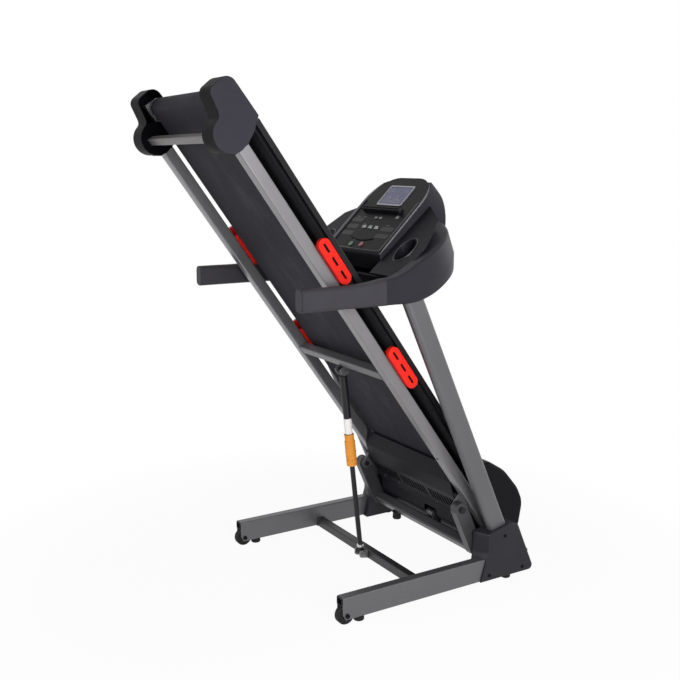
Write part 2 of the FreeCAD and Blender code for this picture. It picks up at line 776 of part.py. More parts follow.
def loop(a0, r0, h0, a1, r1, h1, x0, x1):
    """Solid stadium round two circles in the a-h plane, swept along X."""
    d = math.hypot(a1 - a0, h1 - h0)
    base = math.atan2(h1 - h0, a1 - a0)
    off = math.acos((r0 - r1) / d)

    def pt(a, h, r, t):
        return V(x0, a + r * math.cos(t), h + r * math.sin(t))
    p0 = pt(a0, h0, r0, base + off)
    p1 = pt(a0, h0, r0, base + math.pi)
    p2 = pt(a0, h0, r0, base - off)
    q0 = pt(a1, h1, r1, base - off)
    q1 = pt(a1, h1, r1, base)
    q2 = pt(a1, h1, r1, base + off)
    edges = [Part.Arc(p0, p1, p2).toShape(), Part.LineSegment(p2, q0).toShape(),
             Part.Arc(q0, q1, q2).toShape(), Part.LineSegment(q2, p0).toShape()]
    return Part.Face(Part.Wire(edges)).extrude(V(x1 - x0, 0, 0))


def running_belt():
    def stadium(r):
        return loop(REAR_ROLLER_A, r, ROLLER_H, FRONT_ROLLER_A, r, ROLLER_H, -BELT_HALF, BELT_HALF)
    return stadium(BELT_R + BELT_T).cut(stadium(BELT_R))


def drive_belt():
    x0 = -ROLLER_HALF - 12
    x1 = -ROLLER_HALF - 2

    def stadium(grow):
        return loop(FRONT_ROLLER_A, ROLLER_R - 1.5 + grow, ROLLER_H, MOTOR_A,
                    MOTOR_PULLEY_R + grow, MOTOR_H, x0, x1)
    return stadium(ROLLER_GAP + 2.5).cut(stadium(ROLLER_GAP))


def motor():
    body = rod_x(MOTOR_X0, MOTOR_X1, MOTOR_A, MOTOR_H, MOTOR_R)
    bore = rod_x(MOTOR_X0 + 6, MOTOR_X1 - 6, MOTOR_A, MOTOR_H, MOTOR_R - 6)
    hole = rod_x(MOTOR_X0 - 5, MOTOR_X1 + 5, MOTOR_A, MOTOR_H, SHAFT_R + RUN_FIT)
    saddle = box(MOTOR_X0 + 10, MOTOR_X1 - 10, MOTOR_A - 30, MOTOR_A + 30, TUBE_TOP,
                 MOTOR_H - MOTOR_R + 12)
    saddle = saddle.cut(rod_x(MOTOR_X0 - 5, MOTOR_X1 + 5, MOTOR_A, MOTOR_H, MOTOR_R))
    plate = box(-TUBE_IN, -4, MOTOR_A - 42, MOTOR_A + 42, TUBE_TOP - 6, TUBE_TOP)
    plate = plate.cut(box(-TUBE_IN - 1, 0, FRONT_BAR_A - 12, FRONT_BAR_A + 12, 50, TUBE_TOP))
    return body.cut(bore).cut(hole).fuse([saddle, plate]).removeSplitter()


def motor_rotor():
    shaft = rod_x(-ROLLER_HALF - 14, MOTOR_X1 + 4, MOTOR_A, MOTOR_H, SHAFT_R)
    drum = rod_x(MOTOR_X0 + 12, MOTOR_X1 - 12, MOTOR_A, MOTOR_H, MOTOR_R - 8)
    wheel_ = rod_x(-ROLLER_HALF - 14, -ROLLER_HALF, MOTOR_A, MOTOR_H, MOTOR_PULLEY_R)
    fly = rod_x(MOTOR_X0 - 36, MOTOR_X0 - 8, MOTOR_A, MOTOR_H, MOTOR_R - 6)
    return shaft.fuse([drum, wheel_, fly]).removeSplitter()


def motor_controller():
    plate = box(90, TUBE_IN, -90, 6, TUBE_TOP - 6, TUBE_TOP)
    plate = plate.cut(box(0, TUBE_IN + 1, FRONT_BAR_A - 12, FRONT_BAR_A + 12, 50, TUBE_TOP))
    case = prism_z(rect(105, 215, -80, 0, 4), TUBE_TOP, TUBE_TOP + 34)
    return case.fuse(plate).removeSplitter()


def deck_board():
    return box(-BOARD_HALF, BOARD_HALF, BOARD_REAR, BOARD_FRONT, BOARD_LOW, BOARD_TOP)


def foot_rail():
    t = 3.0
    rib = FOOTRAIL_IN + 18
    pts = [(FOOTRAIL_IN, FOOTRAIL_TOP, 2.5), (FOOTRAIL_OUT, FOOTRAIL_EDGE, 5),
           (FOOTRAIL_OUT, FOOTRAIL_SKIRT, 0), (FOOTRAIL_OUT - t, FOOTRAIL_SKIRT, 0),
           (FOOTRAIL_OUT - t, FOOTRAIL_EDGE - t, 2), (rib + 8, FOOTRAIL_EDGE + 1.6, 0),
           (rib + 8, BOARD_TOP, 0), (rib, BOARD_TOP, 0), (rib, FOOTRAIL_EDGE + 2.6, 0),
           (FOOTRAIL_IN + t, FOOTRAIL_EDGE + 4.4, 0), (FOOTRAIL_IN + t, BELT_TOP + 1.2, 0),
           (FOOTRAIL_IN, BELT_TOP + 1.2, 0)]
    face = rounded(pts, lambda p: V(p.x, FOOTRAIL_REAR, p.y))
    rail = face.extrude(V(0, FOOTRAIL_FRONT - FOOTRAIL_REAR, 0))
    for i in range(4):
        x = FOOTRAIL_IN + 14 + i * 11
        z = FOOTRAIL_EDGE + (FOOTRAIL_OUT - x) * 0.1212
        groove = box(x, x + 4, FOOTRAIL_REAR + 30, FOOTRAIL_FRONT - 30, z - 0.9, z + 5)
        rail = rail.cut(groove)
    return rail


def cushion(a):
    r = CUSHION_H / 2 - 0.2
    h0 = TUBE_TOP - 0.5
    plate = prism_x(rect(a - CUSHION_L / 2, a + CUSHION_L / 2, h0, h0 + CUSHION_H, r),
                    DECK_TUBE_OUT, CUSHION_OUT)
    for k in (-1, 0, 1):
        c = a + k * 46
        m = h0 + CUSHION_H / 2
        plate = plate.cut(prism_x(rect(c - 15, c + 15, m - 3.5, m + 3.5, 3.4), CUSHION_OUT - 7, 300))
    block = box(TUBE_IN + 2, DECK_TUBE_OUT, a - CUSHION_L / 2 + 20, a + CUSHION_L / 2 - 20, TUBE_TOP,
                BOARD_LOW)
    return plate.fuse(block).removeSplitter()


def cap_profile():
    body = [(20, 162, 2), (-111, 157, 28), (-106, 86, 22), (-41, 74, 20), (-21, 60, 0),
            (61, 51, 0), (61, 94, 6), (45, 129, 14)]
    body = [(DECK_REAR + a, h, r) for a, h, r in body]
    a = rounded(body, lambda p: V(0, p.x, p.y))
    lobe = Part.Face(Part.Wire(Part.makeCircle(CAP_LOBE_R, V(0, CAP_LOBE_A, CAP_LOBE_H), V(1, 0, 0))))
    face = a.fuse(lobe).removeSplitter().Faces[0]
    return face.makeOffset2D(CAP_NECK_R).makeOffset2D(-CAP_NECK_R)


def end_cap():
    face = cap_profile().Faces[0]
    face.translate(V(CAP_IN, 0, 0))
    outer = face.extrude(V(CAP_OUT - CAP_IN, 0, 0))
    edges = [e for e in outer.Edges if abs(e.BoundBox.XMin - CAP_OUT) < 1e-3]
    outer = outer.makeFillet(3.0, edges)
    hollow = face.makeOffset2D(-CAP_WALL).extrude(V(CAP_OUT - CAP_IN - CAP_WALL, 0, 0))
    tube = box(TUBE_IN, DECK_TUBE_OUT, DECK_REAR, 0, DECK_TUBE_LOW, TUBE_TOP)
    rail = box(0, 400, FOOTRAIL_REAR - 0.5, 0, FOOTRAIL_SKIRT - 1, 200)
    block = box(TUBE_IN, TUBE_IN + BRACKET_T, REAR_ROLLER_A - BRACKET_A, DECK_REAR + 39, TUBE_TOP,
                ROLLER_H + BRACKET_A)
    cover = face.makeOffset2D(-CAP_WALL / 2).extrude(V(CAP_PLATE, 0, 0))
    cover.translate(V(CAP_PLATE + 1, 0, 0))
    lobe = rod_x(CAP_IN, CAP_OUT, CAP_LOBE_A, CAP_LOBE_H, CAP_LOBE_R - 1)
    hb = REAR_BAR / 2 + 0.3
    bar = box(0, 400, REAR_BAR_A - hb, REAR_BAR_A + hb, DECK_TUBE_LOW - REAR_BAR - 0.3,
              DECK_TUBE_LOW + 1)
    cover = cover.common(lobe).cut(bar)
    shell = outer.cut(hollow).fuse(cover)
    return shell.cut(tube).cut(rail).cut(block)


HOOD = [(-197, 104, 0), (-197, 168, 4), (-185, 206, 28), (-111, 237, 120), (-22, 245, 120),
        (32, 235, 70), (80, 186, 60), (127, 130, 10), (124, 108, 4), (100, 53, 30),
        (66, PAN_LIP - 1, 16), (34, PAN_LIP - 1, 0), (34, 104, 0)]


def hood_solid(k):
    face = rounded(HOOD, lambda p: V(-HOOD_HALF + k, p.x, p.y))
    if k:
        face = face.makeOffset2D(-k)
    return face.extrude(V(2 * (HOOD_HALF - k), 0, 0))


def motor_hood():
    outer = hood_solid(0)
    crown = [e for e in outer.Edges if e.BoundBox.YLength > 5 and e.BoundBox.XLength < 0.1
             and e.BoundBox.ZMin > 167]
    outer = outer.makeFillet(12, crown)
    hollow = hood_solid(SHELL)
    below = box(-HOOD_HALF + SHELL, HOOD_HALF - SHELL, -190, 110, 70, 112)
    belt_way = box(-BOARD_HALF - 2, BOARD_HALF + 2, -210, -150, 100, BELT_TOP + 2)
    tubes = box(-DECK_TUBE_OUT, DECK_TUBE_OUT, -210, DECK_FRONT, 60, TUBE_TOP)
    shell = outer.cut(hollow).cut(below).cut(belt_way).cut(tubes).cut(pan_sheet())
    return shell.cut(actuator_way())


PAN = [(-254, 99, 0), (-219, 66, 20), (-168, PAN_LOW, 30), (-66, PAN_LOW - 6, 20),
       (-32, PAN_LIP, 16), (56, PAN_LIP, 30), (100, 58, 30), (122, 112, 0)]


def pan_sheet():
    top = [(a, h + PAN_T * 1.15, max(r - PAN_T, 0)) for a, h, r in PAN]
    return prism_x(PAN + top[::-1], -PAN_HALF, PAN_HALF)


def belly_pan():
    """Bent sheet below the drive, with three grilles and a way for the actuator."""
    sheet = pan_sheet()
    curl = rod_x(-PAN_HALF, PAN_HALF, -253, 99.0, 3)
    sheet = sheet.fuse(curl).removeSplitter()
    for x in (-159, 0, 159):
        for i in range(9):
            c = x - 64 + i * 16
            slot = prism_z(rect(c - 5, c + 5, -150, -104, 4.5), 30, 80)
            sheet = sheet.cut(slot)
    way = prism_z(rect(ACT_X - 34, ACT_X + 34, -52, 42, 10), PAN_LIP - 10, 90)
    return sheet.cut(way)


# ---- lift frame ----
def lift_frame():
    pts = [(0, 0), (LIFT_BOLT_A, LIFT_BOLT_H)]
    r = ARM_W / 2
    arm = loop(pts[1][0], r, pts[1][1], pts[0][0], r, pts[0][1], ARM_IN, ARM_OUT)
    arm = arm.cut(rod_x(ARM_IN - 1, ARM_OUT + 1, LIFT_BOLT_A, LIFT_BOLT_H, LIFT_BOLT_R + RUN_FIT))
    h = LIFT_TUBE / 2
    tube = prism_x(rect(-h, h, -h, h, 6), -ARM_IN, ARM_IN)
    tube = tube.cut(prism_x(rect(-h + 2.5, h - 2.5, -h + 2.5, h - 2.5, 4), -ARM_IN, ARM_IN))
    a, hh = ACT_C
    x0 = ACT_X + STRUT_EYE + SIDE_FIT
    ear = prism_x([(-h + 2, h - 1, 0), (h - 4, h - 1, 0), (a + 12, hh + 12, 8), (a - 12, hh + 12, 8),
                   (a - 12, hh - 8, 8), (-h - 1, hh - 14, 0)], x0, x0 + 5)
    ear = ear.fuse(rod_x(x0 + 5, x0 + 10, a, hh, 7))
    other = ear.mirror(V(ACT_X, 0, 0), V(1, 0, 0))
    frame = tube.fuse([arm, mirror(arm), ear, other]).removeSplitter()
    return frame


# ---- incline actuator ----
def actuator_axis():
    m = V(ACT_X, ACT_M[0], ACT_M[1])
    c = V(ACT_X, ACT_C[0], ACT_C[1])
    d = c - m
    length = d.Length
    d.normalize()
    return m, c, d, length


def actuator_way():
    """Clear path round the actuator over the lean that its stroke needs."""
    m, c, d, length = actuator_axis()
    way = rod_between(m + d * 20, m + d * 200, ACT_BODY_R + 3)
    return way.fuse(turn(way, ACT_SWING, m.y, m.z))


def actuator_body():
    m, c, d, length = actuator_axis()
    barrel = rod_between(m + d * 34, m + d * 122, ACT_BODY_R)
    bore = rod_between(m + d * 40, m + d * 130, ACT_TUBE_R + RUN_FIT)
    eye = rod_x(ACT_X - 10, ACT_X + 10, m.y, m.z, 12)
    neck = rod_between(m, m + d * 36, 9)
    solid = barrel.cut(bore).fuse([eye, neck])
    return solid.cut(rod_x(0, 100, m.y, m.z, 5 + RUN_FIT)).removeSplitter()


def actuator_mount():
    m, c, d, length = actuator_axis()
    x0 = ACT_X + 10 + SIDE_FIT
    cheek = prism_x([(m.y + 2, TUBE_TOP, 0), (m.y + 18, TUBE_TOP, 0), (m.y + 12, m.z + 10, 8),
                     (m.y - 12, m.z + 10, 8), (m.y - 10, m.z - 10, 4), (m.y + 2, m.z - 24, 4)],
                    x0, x0 + 4)
    other = cheek.mirror(V(ACT_X, 0, 0), V(1, 0, 0))
    pin = rod_x(x0 - 24, x0 + 8, m.y, m.z, 5)
    base = box(ACT_X - 32, ACT_X + 32, FRONT_BAR_A + 12, m.y + 18, TUBE_TOP - 8, TUBE_TOP)
    return base.cut(actuator_way()).fuse([cheek, other, pin]).removeSplitter()


def actuator_tube():
    m, c, d, length = actuator_axis()
    stem = rod_between(m + d * 42, c, ACT_TUBE_R)
    eye = rod_x(ACT_X - STRUT_EYE, ACT_X + STRUT_EYE, c.y, c.z, 11)
    return stem.fuse(eye).removeSplitter()


node("console_crossbar", console_crossbar())
node("deck_side_tubes", [deck(s) for s in pair(deck_tube())])
node("deck_end_bars", [deck(s) for s in deck_end_bars()])
node("deck_mid_bar", deck(deck_mid_bar()))
rear_bracket = roller_bracket(REAR_ROLLER_A - BRACKET_A, DECK_REAR + 39, REAR_ROLLER_A)
front_bracket = roller_bracket(FRONT_ROLLER_A - BRACKET_A, FRONT_ROLLER_A + BRACKET_A,
                               FRONT_ROLLER_A)
node("deck_brackets", [deck(s) for s in pair(lift_ear())], [deck(s) for s in pair(front_bracket)],
     [deck(s) for s in pair(rear_bracket)], deck(actuator_mount()))
node("lift_bolts", [deck(s) for s in pair(lift_bolt())])
node("deck_board", deck(deck_board()))
node("running_belt", deck(running_belt()))
node("foot_rails", [deck(s) for s in pair(foot_rail())])
node("deck_cushions", [deck(s) for a in CUSHION_A for s in pair(cushion(a))])
node("end_cap_right", deck(end_cap()))
node("end_cap_left", deck(mirror(end_cap())))
node("roller_axles", [deck(roller_axle(a)) for a in (REAR_ROLLER_A, FRONT_ROLLER_A)],
     [deck(s) for s in pair(axle_screw())])
node("rear_roller", deck(roller(REAR_ROLLER_A, False)))
node("front_roller", deck(roller(FRONT_ROLLER_A, True)))
node("drive_belt", deck(drive_belt()))
node("drive_motor", deck(motor()))
node("motor_rotor", deck(motor_rotor()))
node("motor_controller", deck(motor_controller()))
node("motor_hood", deck(motor_hood()))
node("belly_pan", deck(belly_pan()))
node("lift_frame", deck(lift_frame()))
node("actuator_body", deck(actuator_body()))
node("actuator_tube", deck(actuator_tube()))


# ---- strut ----
def strut_axis():
    y, z = deck_point(*STRUT_T)
    t = V(0, y, z)
    b = V(0, STRUT_B[0], STRUT_B[1])
    d = b - t
    length = d.Length
    d.normalize()
    return t, b, d, length


def strut_tube():
    t, b, d, length = strut_axis()
    barrel = rod_between(t + d * 14, t + d * STRUT_SLEEVE[0], STRUT_R)
    bore = rod_between(t + d * 40, t + d * 400, STRUT_ROD_R + 0.3)
    neck = rod_between(t, t + d * 16, 8)
    eye = rod_x(-STRUT_EYE, STRUT_EYE, t.y, t.z, STRUT_R)
    return barrel.fuse([neck, eye]).cut(bore).removeSplitter()


def strut_sleeve():
    t, b, d, length = strut_axis()
    s0, s1 = STRUT_SLEEVE
    top = rod_between(t + d * s0, t + d * (s0 + 24), STRUT_SLEEVE_R - 2)
    body = rod_between(t + d * (s0 + 24), t + d * s1, STRUT_SLEEVE_R)
    groove = rod_between(t + d * (s1 - 24), t + d * (s1 - 19), STRUT_SLEEVE_R + 1)
    groove = groove.cut(rod_between(t + d * (s1 - 30), t + d * (s1 - 10), STRUT_SLEEVE_R - 2))
    bore = rod_between(t + d * (s0 - 1), t + d * (s1 + 1), STRUT_ROD_R + RUN_FIT)
    return top.fuse(body).cut(groove).cut(bore).removeSplitter()


def strut_rod():
    t, b, d, length = strut_axis()
    stem = rod_between(t + d * (STRUT_SLEEVE[1] - 40), b, STRUT_ROD_R)
    eye = rod_x(-STRUT_EYE, STRUT_EYE, b.y, b.z, 10)
    return stem.fuse(eye).cut(rod_x(-40, 40, b.y, b.z, 5 + RUN_FIT)).removeSplitter()


node("strut_tube", strut_tube())
node("strut_sleeve", strut_sleeve())
node("strut_rod", strut_rod())

# ---- the origin sits under the middle of the folded machine ----
low = min(s.optimalBoundingBox(False, False).YMin for s in ALL["end_cap_right"])
high = max(s.optimalBoundingBox(False, False).YMax for s in ALL["motor_hood"])
SHIFT_Y = -(low + high) / 2
for name, solids in ALL.items():
    moved = []
    for s in solids:
        c = s.copy()
        c.translate(V(0, SHIFT_Y, 0))
        moved.append(c)
    shape = moved[0] if len(moved) == 1 else Part.makeCompound(moved)
    shape.exportStep("parts/" + name + ".step")
print("nodes", len(ALL), "shift", round(SHIFT_Y, 4))
for name, solids in ALL.items():
    bad = [i for i, s in enumerate(solids) if not s.isValid() or s.Volume < 1]
    if bad or not solids:
        print("CHECK", name, len(solids), bad)
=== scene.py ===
import json
import math
import bpy
import bmesh
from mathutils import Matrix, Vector


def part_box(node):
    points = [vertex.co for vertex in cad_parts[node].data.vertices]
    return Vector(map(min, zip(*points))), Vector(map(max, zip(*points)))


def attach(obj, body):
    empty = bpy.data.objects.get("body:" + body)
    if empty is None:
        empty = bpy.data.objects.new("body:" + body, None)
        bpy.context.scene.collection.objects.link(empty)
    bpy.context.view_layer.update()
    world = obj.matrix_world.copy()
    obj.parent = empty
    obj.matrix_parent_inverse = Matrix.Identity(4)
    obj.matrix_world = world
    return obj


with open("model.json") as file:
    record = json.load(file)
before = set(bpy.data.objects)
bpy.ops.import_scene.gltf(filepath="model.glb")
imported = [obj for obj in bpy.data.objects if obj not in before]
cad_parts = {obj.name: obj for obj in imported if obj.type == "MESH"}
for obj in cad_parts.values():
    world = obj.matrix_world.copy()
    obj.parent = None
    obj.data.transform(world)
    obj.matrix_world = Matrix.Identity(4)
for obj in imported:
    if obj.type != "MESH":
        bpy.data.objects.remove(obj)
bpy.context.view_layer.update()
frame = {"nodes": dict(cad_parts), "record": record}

NODES = frame["nodes"]
SIDES = ((-1, "left"), (1, "right"))

# ---------------------------------------------------------------- places, from sizes in millimetres
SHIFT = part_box("base_rail_right")[0][1]     # where the base rails' rear ends lie in the frame
FOLD = math.radians(54.4)                   # the deck's angle when folded
FOLD_Y, FOLD_Z = 530, 98                    # the axis that the deck folds about
SLOPE = math.radians(44.6)                  # the face panel's angle
PANEL_Y, PANEL_Z = 200, 985                 # the face panel's origin


def base_place(x, y, z):
    """Across, forward from the base rails' rear ends, up off the floor."""
    return Vector((x / 1000, y / 1000 + SHIFT, z / 1000))


def deck_place(x, a, h):
    """Across, forward along the deck, up off it, with the deck folded."""
    return base_place(x, FOLD_Y + a * math.cos(FOLD) + h * math.sin(FOLD),
                      FOLD_Z - a * math.sin(FOLD) + h * math.cos(FOLD))


def panel_place(x, p, w):
    """Across, up the face panel, out of it."""
    return base_place(x, PANEL_Y + p * math.cos(SLOPE) - w * math.sin(SLOPE),
                      PANEL_Z + p * math.sin(SLOPE) + w * math.cos(SLOPE))


DECK_UP = (deck_place(0, 0, 100) - deck_place(0, 0, 0)).normalized()
SIDEWAYS = Vector((1, 0, 0))


# ---------------------------------------------------------------- finishes
class Val:
    """One shader socket that takes part in sums and products."""

    def __init__(self, finish, socket):
        self.finish = finish
        self.socket = socket

    def math(self, operation, *values):
        return self.finish.node("ShaderNodeMath", {"operation": operation}, dict(enumerate(values)))

    def __add__(self, other):
        return self.math("ADD", self, other)

    def __sub__(self, other):
        return self.math("SUBTRACT", self, other)

    def __rsub__(self, other):
        return self.math("SUBTRACT", other, self)

    def __mul__(self, other):
        return self.math("MULTIPLY", self, other)

    def __truediv__(self, other):
        return self.math("DIVIDE", self, other)

    def __abs__(self):
        return self.math("ABSOLUTE", self)

    def sin(self):
        return self.math("SINE", self)

    def clamp(self):
        self.socket.node.use_clamp = True
        return self

    def ramp(self, low, high):
        """0 below low, 1 above high, smooth between."""
        return self.finish.node("ShaderNodeMapRange", {"interpolation_type": "SMOOTHSTEP"},
                                {"Value": self, "From Min": low, "From Max": high}, "Result")


class Finish:
    """A material under construction: node() adds any node and wires its inputs."""

    def __init__(self, name):
        self.material = bpy.data.materials.new(name)
        self.material.use_nodes = True
        self.nodes = self.material.node_tree.nodes
        self.links = self.material.node_tree.links
        self.nodes.clear()
        self.shader = self.nodes.new("ShaderNodeBsdfPrincipled")
        self.end = self.nodes.new("ShaderNodeOutputMaterial")
        self.links.new(self.shader.outputs[0], self.end.inputs["Surface"])
        self.place = self.node("ShaderNodeTexCoord", {}, {}, "Object")

    def wire(self, target, value):
        if isinstance(value, Val):
            self.links.new(value.socket, target)
        else:
            if isinstance(value, tuple) and len(value) == 3 and len(target.default_value) == 4:
                value = value + (1.0,)
            target.default_value = value

    def node(self, kind, settings, sockets, out=0):
        n = self.nodes.new(kind)
        for key, value in settings.items():
            setattr(n, key, value)
        for key, value in sockets.items():
            self.wire(n.inputs[key], value)
        return Val(self, n.outputs[out])

    def set(self, **values):
        """Sets the surface shader's inputs, named with _ for each space."""
        for key, value in values.items():
            self.wire(self.shader.inputs[key.replace("_", " ")], value)

    def noise(self, scale, detail=3.0, rough=0.5, stretch=None):
        where = self.place
        if stretch:
            where = self.node("ShaderNodeMapping", {}, {"Vector": self.place, "Scale": stretch})
        return self.node("ShaderNodeTexNoise", {},
                         {"Vector": where, "Scale": scale, "Detail": detail, "Roughness": rough},
                         "Fac")

    def cells(self, scale, out="Distance"):
        return self.node("ShaderNodeTexVoronoi", {}, {"Vector": self.place, "Scale": scale}, out)

    def axes(self):
        n = self.nodes.new("ShaderNodeSeparateXYZ")
        self.links.new(self.place.socket, n.inputs[0])
        return [Val(self, s) for s in n.outputs]

    def mix(self, factor, a, b):
        n = self.nodes.new("ShaderNodeMix")
        n.data_type = "RGBA"
        self.wire(n.inputs["Factor"], factor)
        for s, v in ((n.inputs[6], a), (n.inputs[7], b)):
            self.wire(s, v)
        return Val(self, n.outputs[2])

    def bump(self, height, strength, distance):
        normal = self.node("ShaderNodeBump", {},
                           {"Height": height, "Strength": strength, "Distance": distance})
        self.links.new(normal.socket, self.shader.inputs["Normal"])
        return self

    def upward(self):
        """How far the surface faces up, for dust that has settled."""
        n = self.nodes.new("ShaderNodeNewGeometry")
        s = self.nodes.new("ShaderNodeSeparateXYZ")
        self.links.new(n.outputs["Normal"], s.inputs[0])
        return Val(self, s.outputs[2])


RIB_PITCH = 1750            # radians a metre, of the belt's ribs
GRID_PITCH = 2600           # radians a metre, of the display's grid
STRIP_START = (0.10, 0.12)  # metres from the middle, where the trim turns from frame to strip


def shade(colour, k):
    """The same colour, k times as light."""
    return tuple(min(1.0, c * k) for c in colour)


def moulded(name, colour, rough=0.5, grain=1500, depth=0.00006, sheen=0.2, scuff=0.5):
    """Grained injection-moulded plastic, with faint scuffs and a little settled dust."""
    f = Finish(name)
    cloud = f.noise(9, 4)
    fine = f.noise(grain, 2, 0.6)
    rub = f.noise(60, 5, 0.7, (1, 0.25, 1)).ramp(0.58, 0.72) * scuff
    tone = f.mix(cloud, shade(colour, 0.84), shade(colour, 1.2))
    tone = f.mix(rub * 0.22, tone, shade(colour, 2.0))
    dust = f.upward().ramp(0.55, 1.0) * f.noise(24, 4).ramp(0.35, 0.75) * 0.04
    tone = f.mix(dust, tone, (0.30, 0.29, 0.28))
    f.set(Base_Color=tone, Roughness=(rub * 0.14 + cloud * 0.10 + (rough - 0.05) + dust).clamp())
    f.set(Specular_IOR_Level=sheen)
    return f.bump(fine, 0.5, depth).material


def end_cap_with_shaded_rim(name, face, rim, inside, outside):
    """End cap plastic: the flat outer cheek is paler than the rim that wraps round it; the rim's
    darker colour is painted shade on the same plastic.
    """
    f = Finish(name)
    x = f.axes()[0]
    cloud = f.noise(9, 4)
    fine = f.noise(1700, 2, 0.6)
    swirl = f.noise(26, 5, 0.65).ramp(0.45, 0.75)
    cheek = abs(x).ramp(inside, outside)
    # painted shade: the rim gets a far darker copy of the cheek's plastic
    tone = f.mix(cheek, rim, face)
    light = f.mix(cheek, shade(rim, 1.5), shade(face, 1.35))
    tone = f.mix(cloud * 0.5 + swirl * 0.25, tone, light)
    f.set(Base_Color=tone, Roughness=cloud * 0.10 + swirl * 0.08 + 0.38, Specular_IOR_Level=0.03)
    return f.bump(fine, 0.5, 0.00005).material


def coated_steel(name, colour, rough=0.36, metal=0.75, flake=0.10, coat=0.08):
    """Powder-coated tube: metal flake, orange peel and rubbed patches."""
    f = Finish(name)
    flakes = f.cells(2600, "Color")
    spark = f.node("ShaderNodeSeparateColor", {}, {0: flakes}, 0)
    cloud = f.noise(6, 3)
    worn = f.noise(38, 6, 0.72).ramp(0.62, 0.74)
    tone = f.mix(cloud, shade(colour, 0.90), shade(colour, 1.08))
    tone = f.mix(spark * flake * 2, tone, shade(colour, 1.7))
    tone = f.mix(worn * 0.12, tone, shade(colour, 0.6))
    f.set(Base_Color=tone, Metallic=metal, Coat_Weight=coat, Coat_Roughness=0.24)
    f.set(Specular_IOR_Level=0.3)
    f.set(Roughness=(worn * 0.12 + spark * 0.08 + cloud * 0.05 + (rough - 0.08)).clamp())
    peel = f.noise(420, 2)
    return f.bump(peel, 0.25, 0.00012).material


def bare_metal(name, colour, rough=0.28, stretch=(1, 40, 40), scale=30):
    """Turned or drawn bright steel with fine lines across the stretch."""
    f = Finish(name)
    lines = f.noise(scale, 4, 0.6, stretch)
    stain = f.noise(70, 5).ramp(0.5, 0.75)
    tone = f.mix(lines, shade(colour, 0.82), shade(colour, 1.12))
    tone = f.mix(stain * 0.2, tone, shade(colour, 0.55))
    f.set(Base_Color=tone, Metallic=1.0, Roughness=lines * 0.16 + stain * 0.12 + (rough - 0.06))
    return f.bump(lines, 0.2, 0.00005).material


def soft_rubber(name, colour, rough=0.62, grain=900, depth=0.00012):
    """Rubber with a matt bloom and fine pores."""
    f = Finish(name)
    cloud = f.noise(14, 4)
    pores = f.cells(grain)
    bloom = f.noise(45, 5, 0.65).ramp(0.5, 0.8)
    tone = f.mix(cloud, shade(colour, 0.86), shade(colour, 1.14))
    tone = f.mix(bloom * 0.10, tone, shade(colour, 1.5))
    f.set(Base_Color=tone, Roughness=(cloud * 0.1 + bloom * 0.1 + (rough - 0.08)).clamp())
    f.set(Specular_IOR_Level=0.12)
    return f.bump(pores, 0.35, depth).material


def running_surface(name, colour):
    """Ribbed running belt: small diamond ribs, a trodden centre and clean edges."""
    f = Finish(name)
    x, y, z = f.axes()
    along = y * round(math.cos(FOLD), 4) - z * round(math.sin(FOLD), 4)
    rib = ((x + along) * RIB_PITCH).sin() * ((x - along) * RIB_PITCH).sin()
    tread = f.noise(16, 5, 0.6, (1, 0.35, 0.35))
    worn = (1.0 - (abs(x) / 0.2)).clamp() * tread.ramp(0.4, 0.75)
    tone = f.mix(tread, shade(colour, 0.82), shade(colour, 1.18))
    tone = f.mix(worn * 0.25, tone, shade(colour, 1.9))
    tone = f.mix((rib * 0.5 + 0.5) * 0.25, tone, shade(colour, 0.6))
    f.set(Base_Color=tone, Roughness=(0.62 - worn * 0.14 + tread * 0.08).clamp())
    f.set(Specular_IOR_Level=0.10)
    return f.bump(rib, 0.5, 0.00018).material


def trim_metal(name, strip, rim):
    """Satin trim: the side strips are duller than the frame round the display."""
    f = Finish(name)
    x = f.axes()[0]
    lines = f.noise(40, 4, 0.6, (40, 1, 40))
    tone = f.mix(abs(x).ramp(*STRIP_START), rim, strip)
    f.set(Base_Color=f.mix(lines * 0.4, tone, shade(strip, 0.8)), Metallic=1.0)
    f.set(Roughness=lines * 0.16 + 0.32)
    return f.bump(lines, 0.2, 0.00005).material


def gloss_key(name, colour):
    """Polished key cap, dulled a little by fingers."""
    f = Finish(name)
    cloud = f.noise(120, 3)
    touch = f.noise(260, 4).ramp(0.45, 0.75)
    f.set(Base_Color=f.mix(cloud, shade(colour, 0.88), shade(colour, 1.1)))
    f.set(Roughness=touch * 0.18 + 0.22, Coat_Weight=0.3, Coat_Roughness=0.12)
    return f.bump(touch, 0.1, 0.00004).material


def board_wood(name, colour):
    """Sealed fibre board, its layers drawn out along the deck."""
    f = Finish(name)
    fibre = f.noise(300, 5, 0.6, (1, 0.3, 0.3))
    layers = f.noise(30, 4, 0.6, (1, 0.08, 0.08))
    f.set(Base_Color=f.mix(fibre * 0.6 + layers * 0.4, shade(colour, 0.7), shade(colour, 1.25)))
    f.set(Roughness=fibre * 0.15 + 0.55, Specular_IOR_Level=0.16)
    return f.bump(fibre, 0.3, 0.0001).material


def screen_glass(name):
    """Blue display behind a smooth window, looking switched off, with a faint emission that is a
    painted glow.
    """
    f = Finish(name)
    x, y, z = f.axes()
    rows = y * round(math.cos(SLOPE), 3) + z * round(math.sin(SLOPE), 3)
    grid = ((x * GRID_PITCH).sin() * 0.5 + 0.5) * ((rows * GRID_PITCH).sin() * 0.5 + 0.5)
    glow = f.noise(22, 2)
    tone = f.mix(glow, (0.040, 0.042, 0.112), (0.078, 0.082, 0.200))
    tone = f.mix(grid * 0.35, tone, (0.03, 0.03, 0.08))
    f.set(Base_Color=tone, Roughness=glow * 0.06 + 0.12, Coat_Weight=0.2, Coat_Roughness=0.06)
    f.set(Specular_IOR_Level=0.25)
    # painted glow: a faint emission on a display shown switched off
    f.set(Emission_Color=tone, Emission_Strength=0.35)
    return f.material


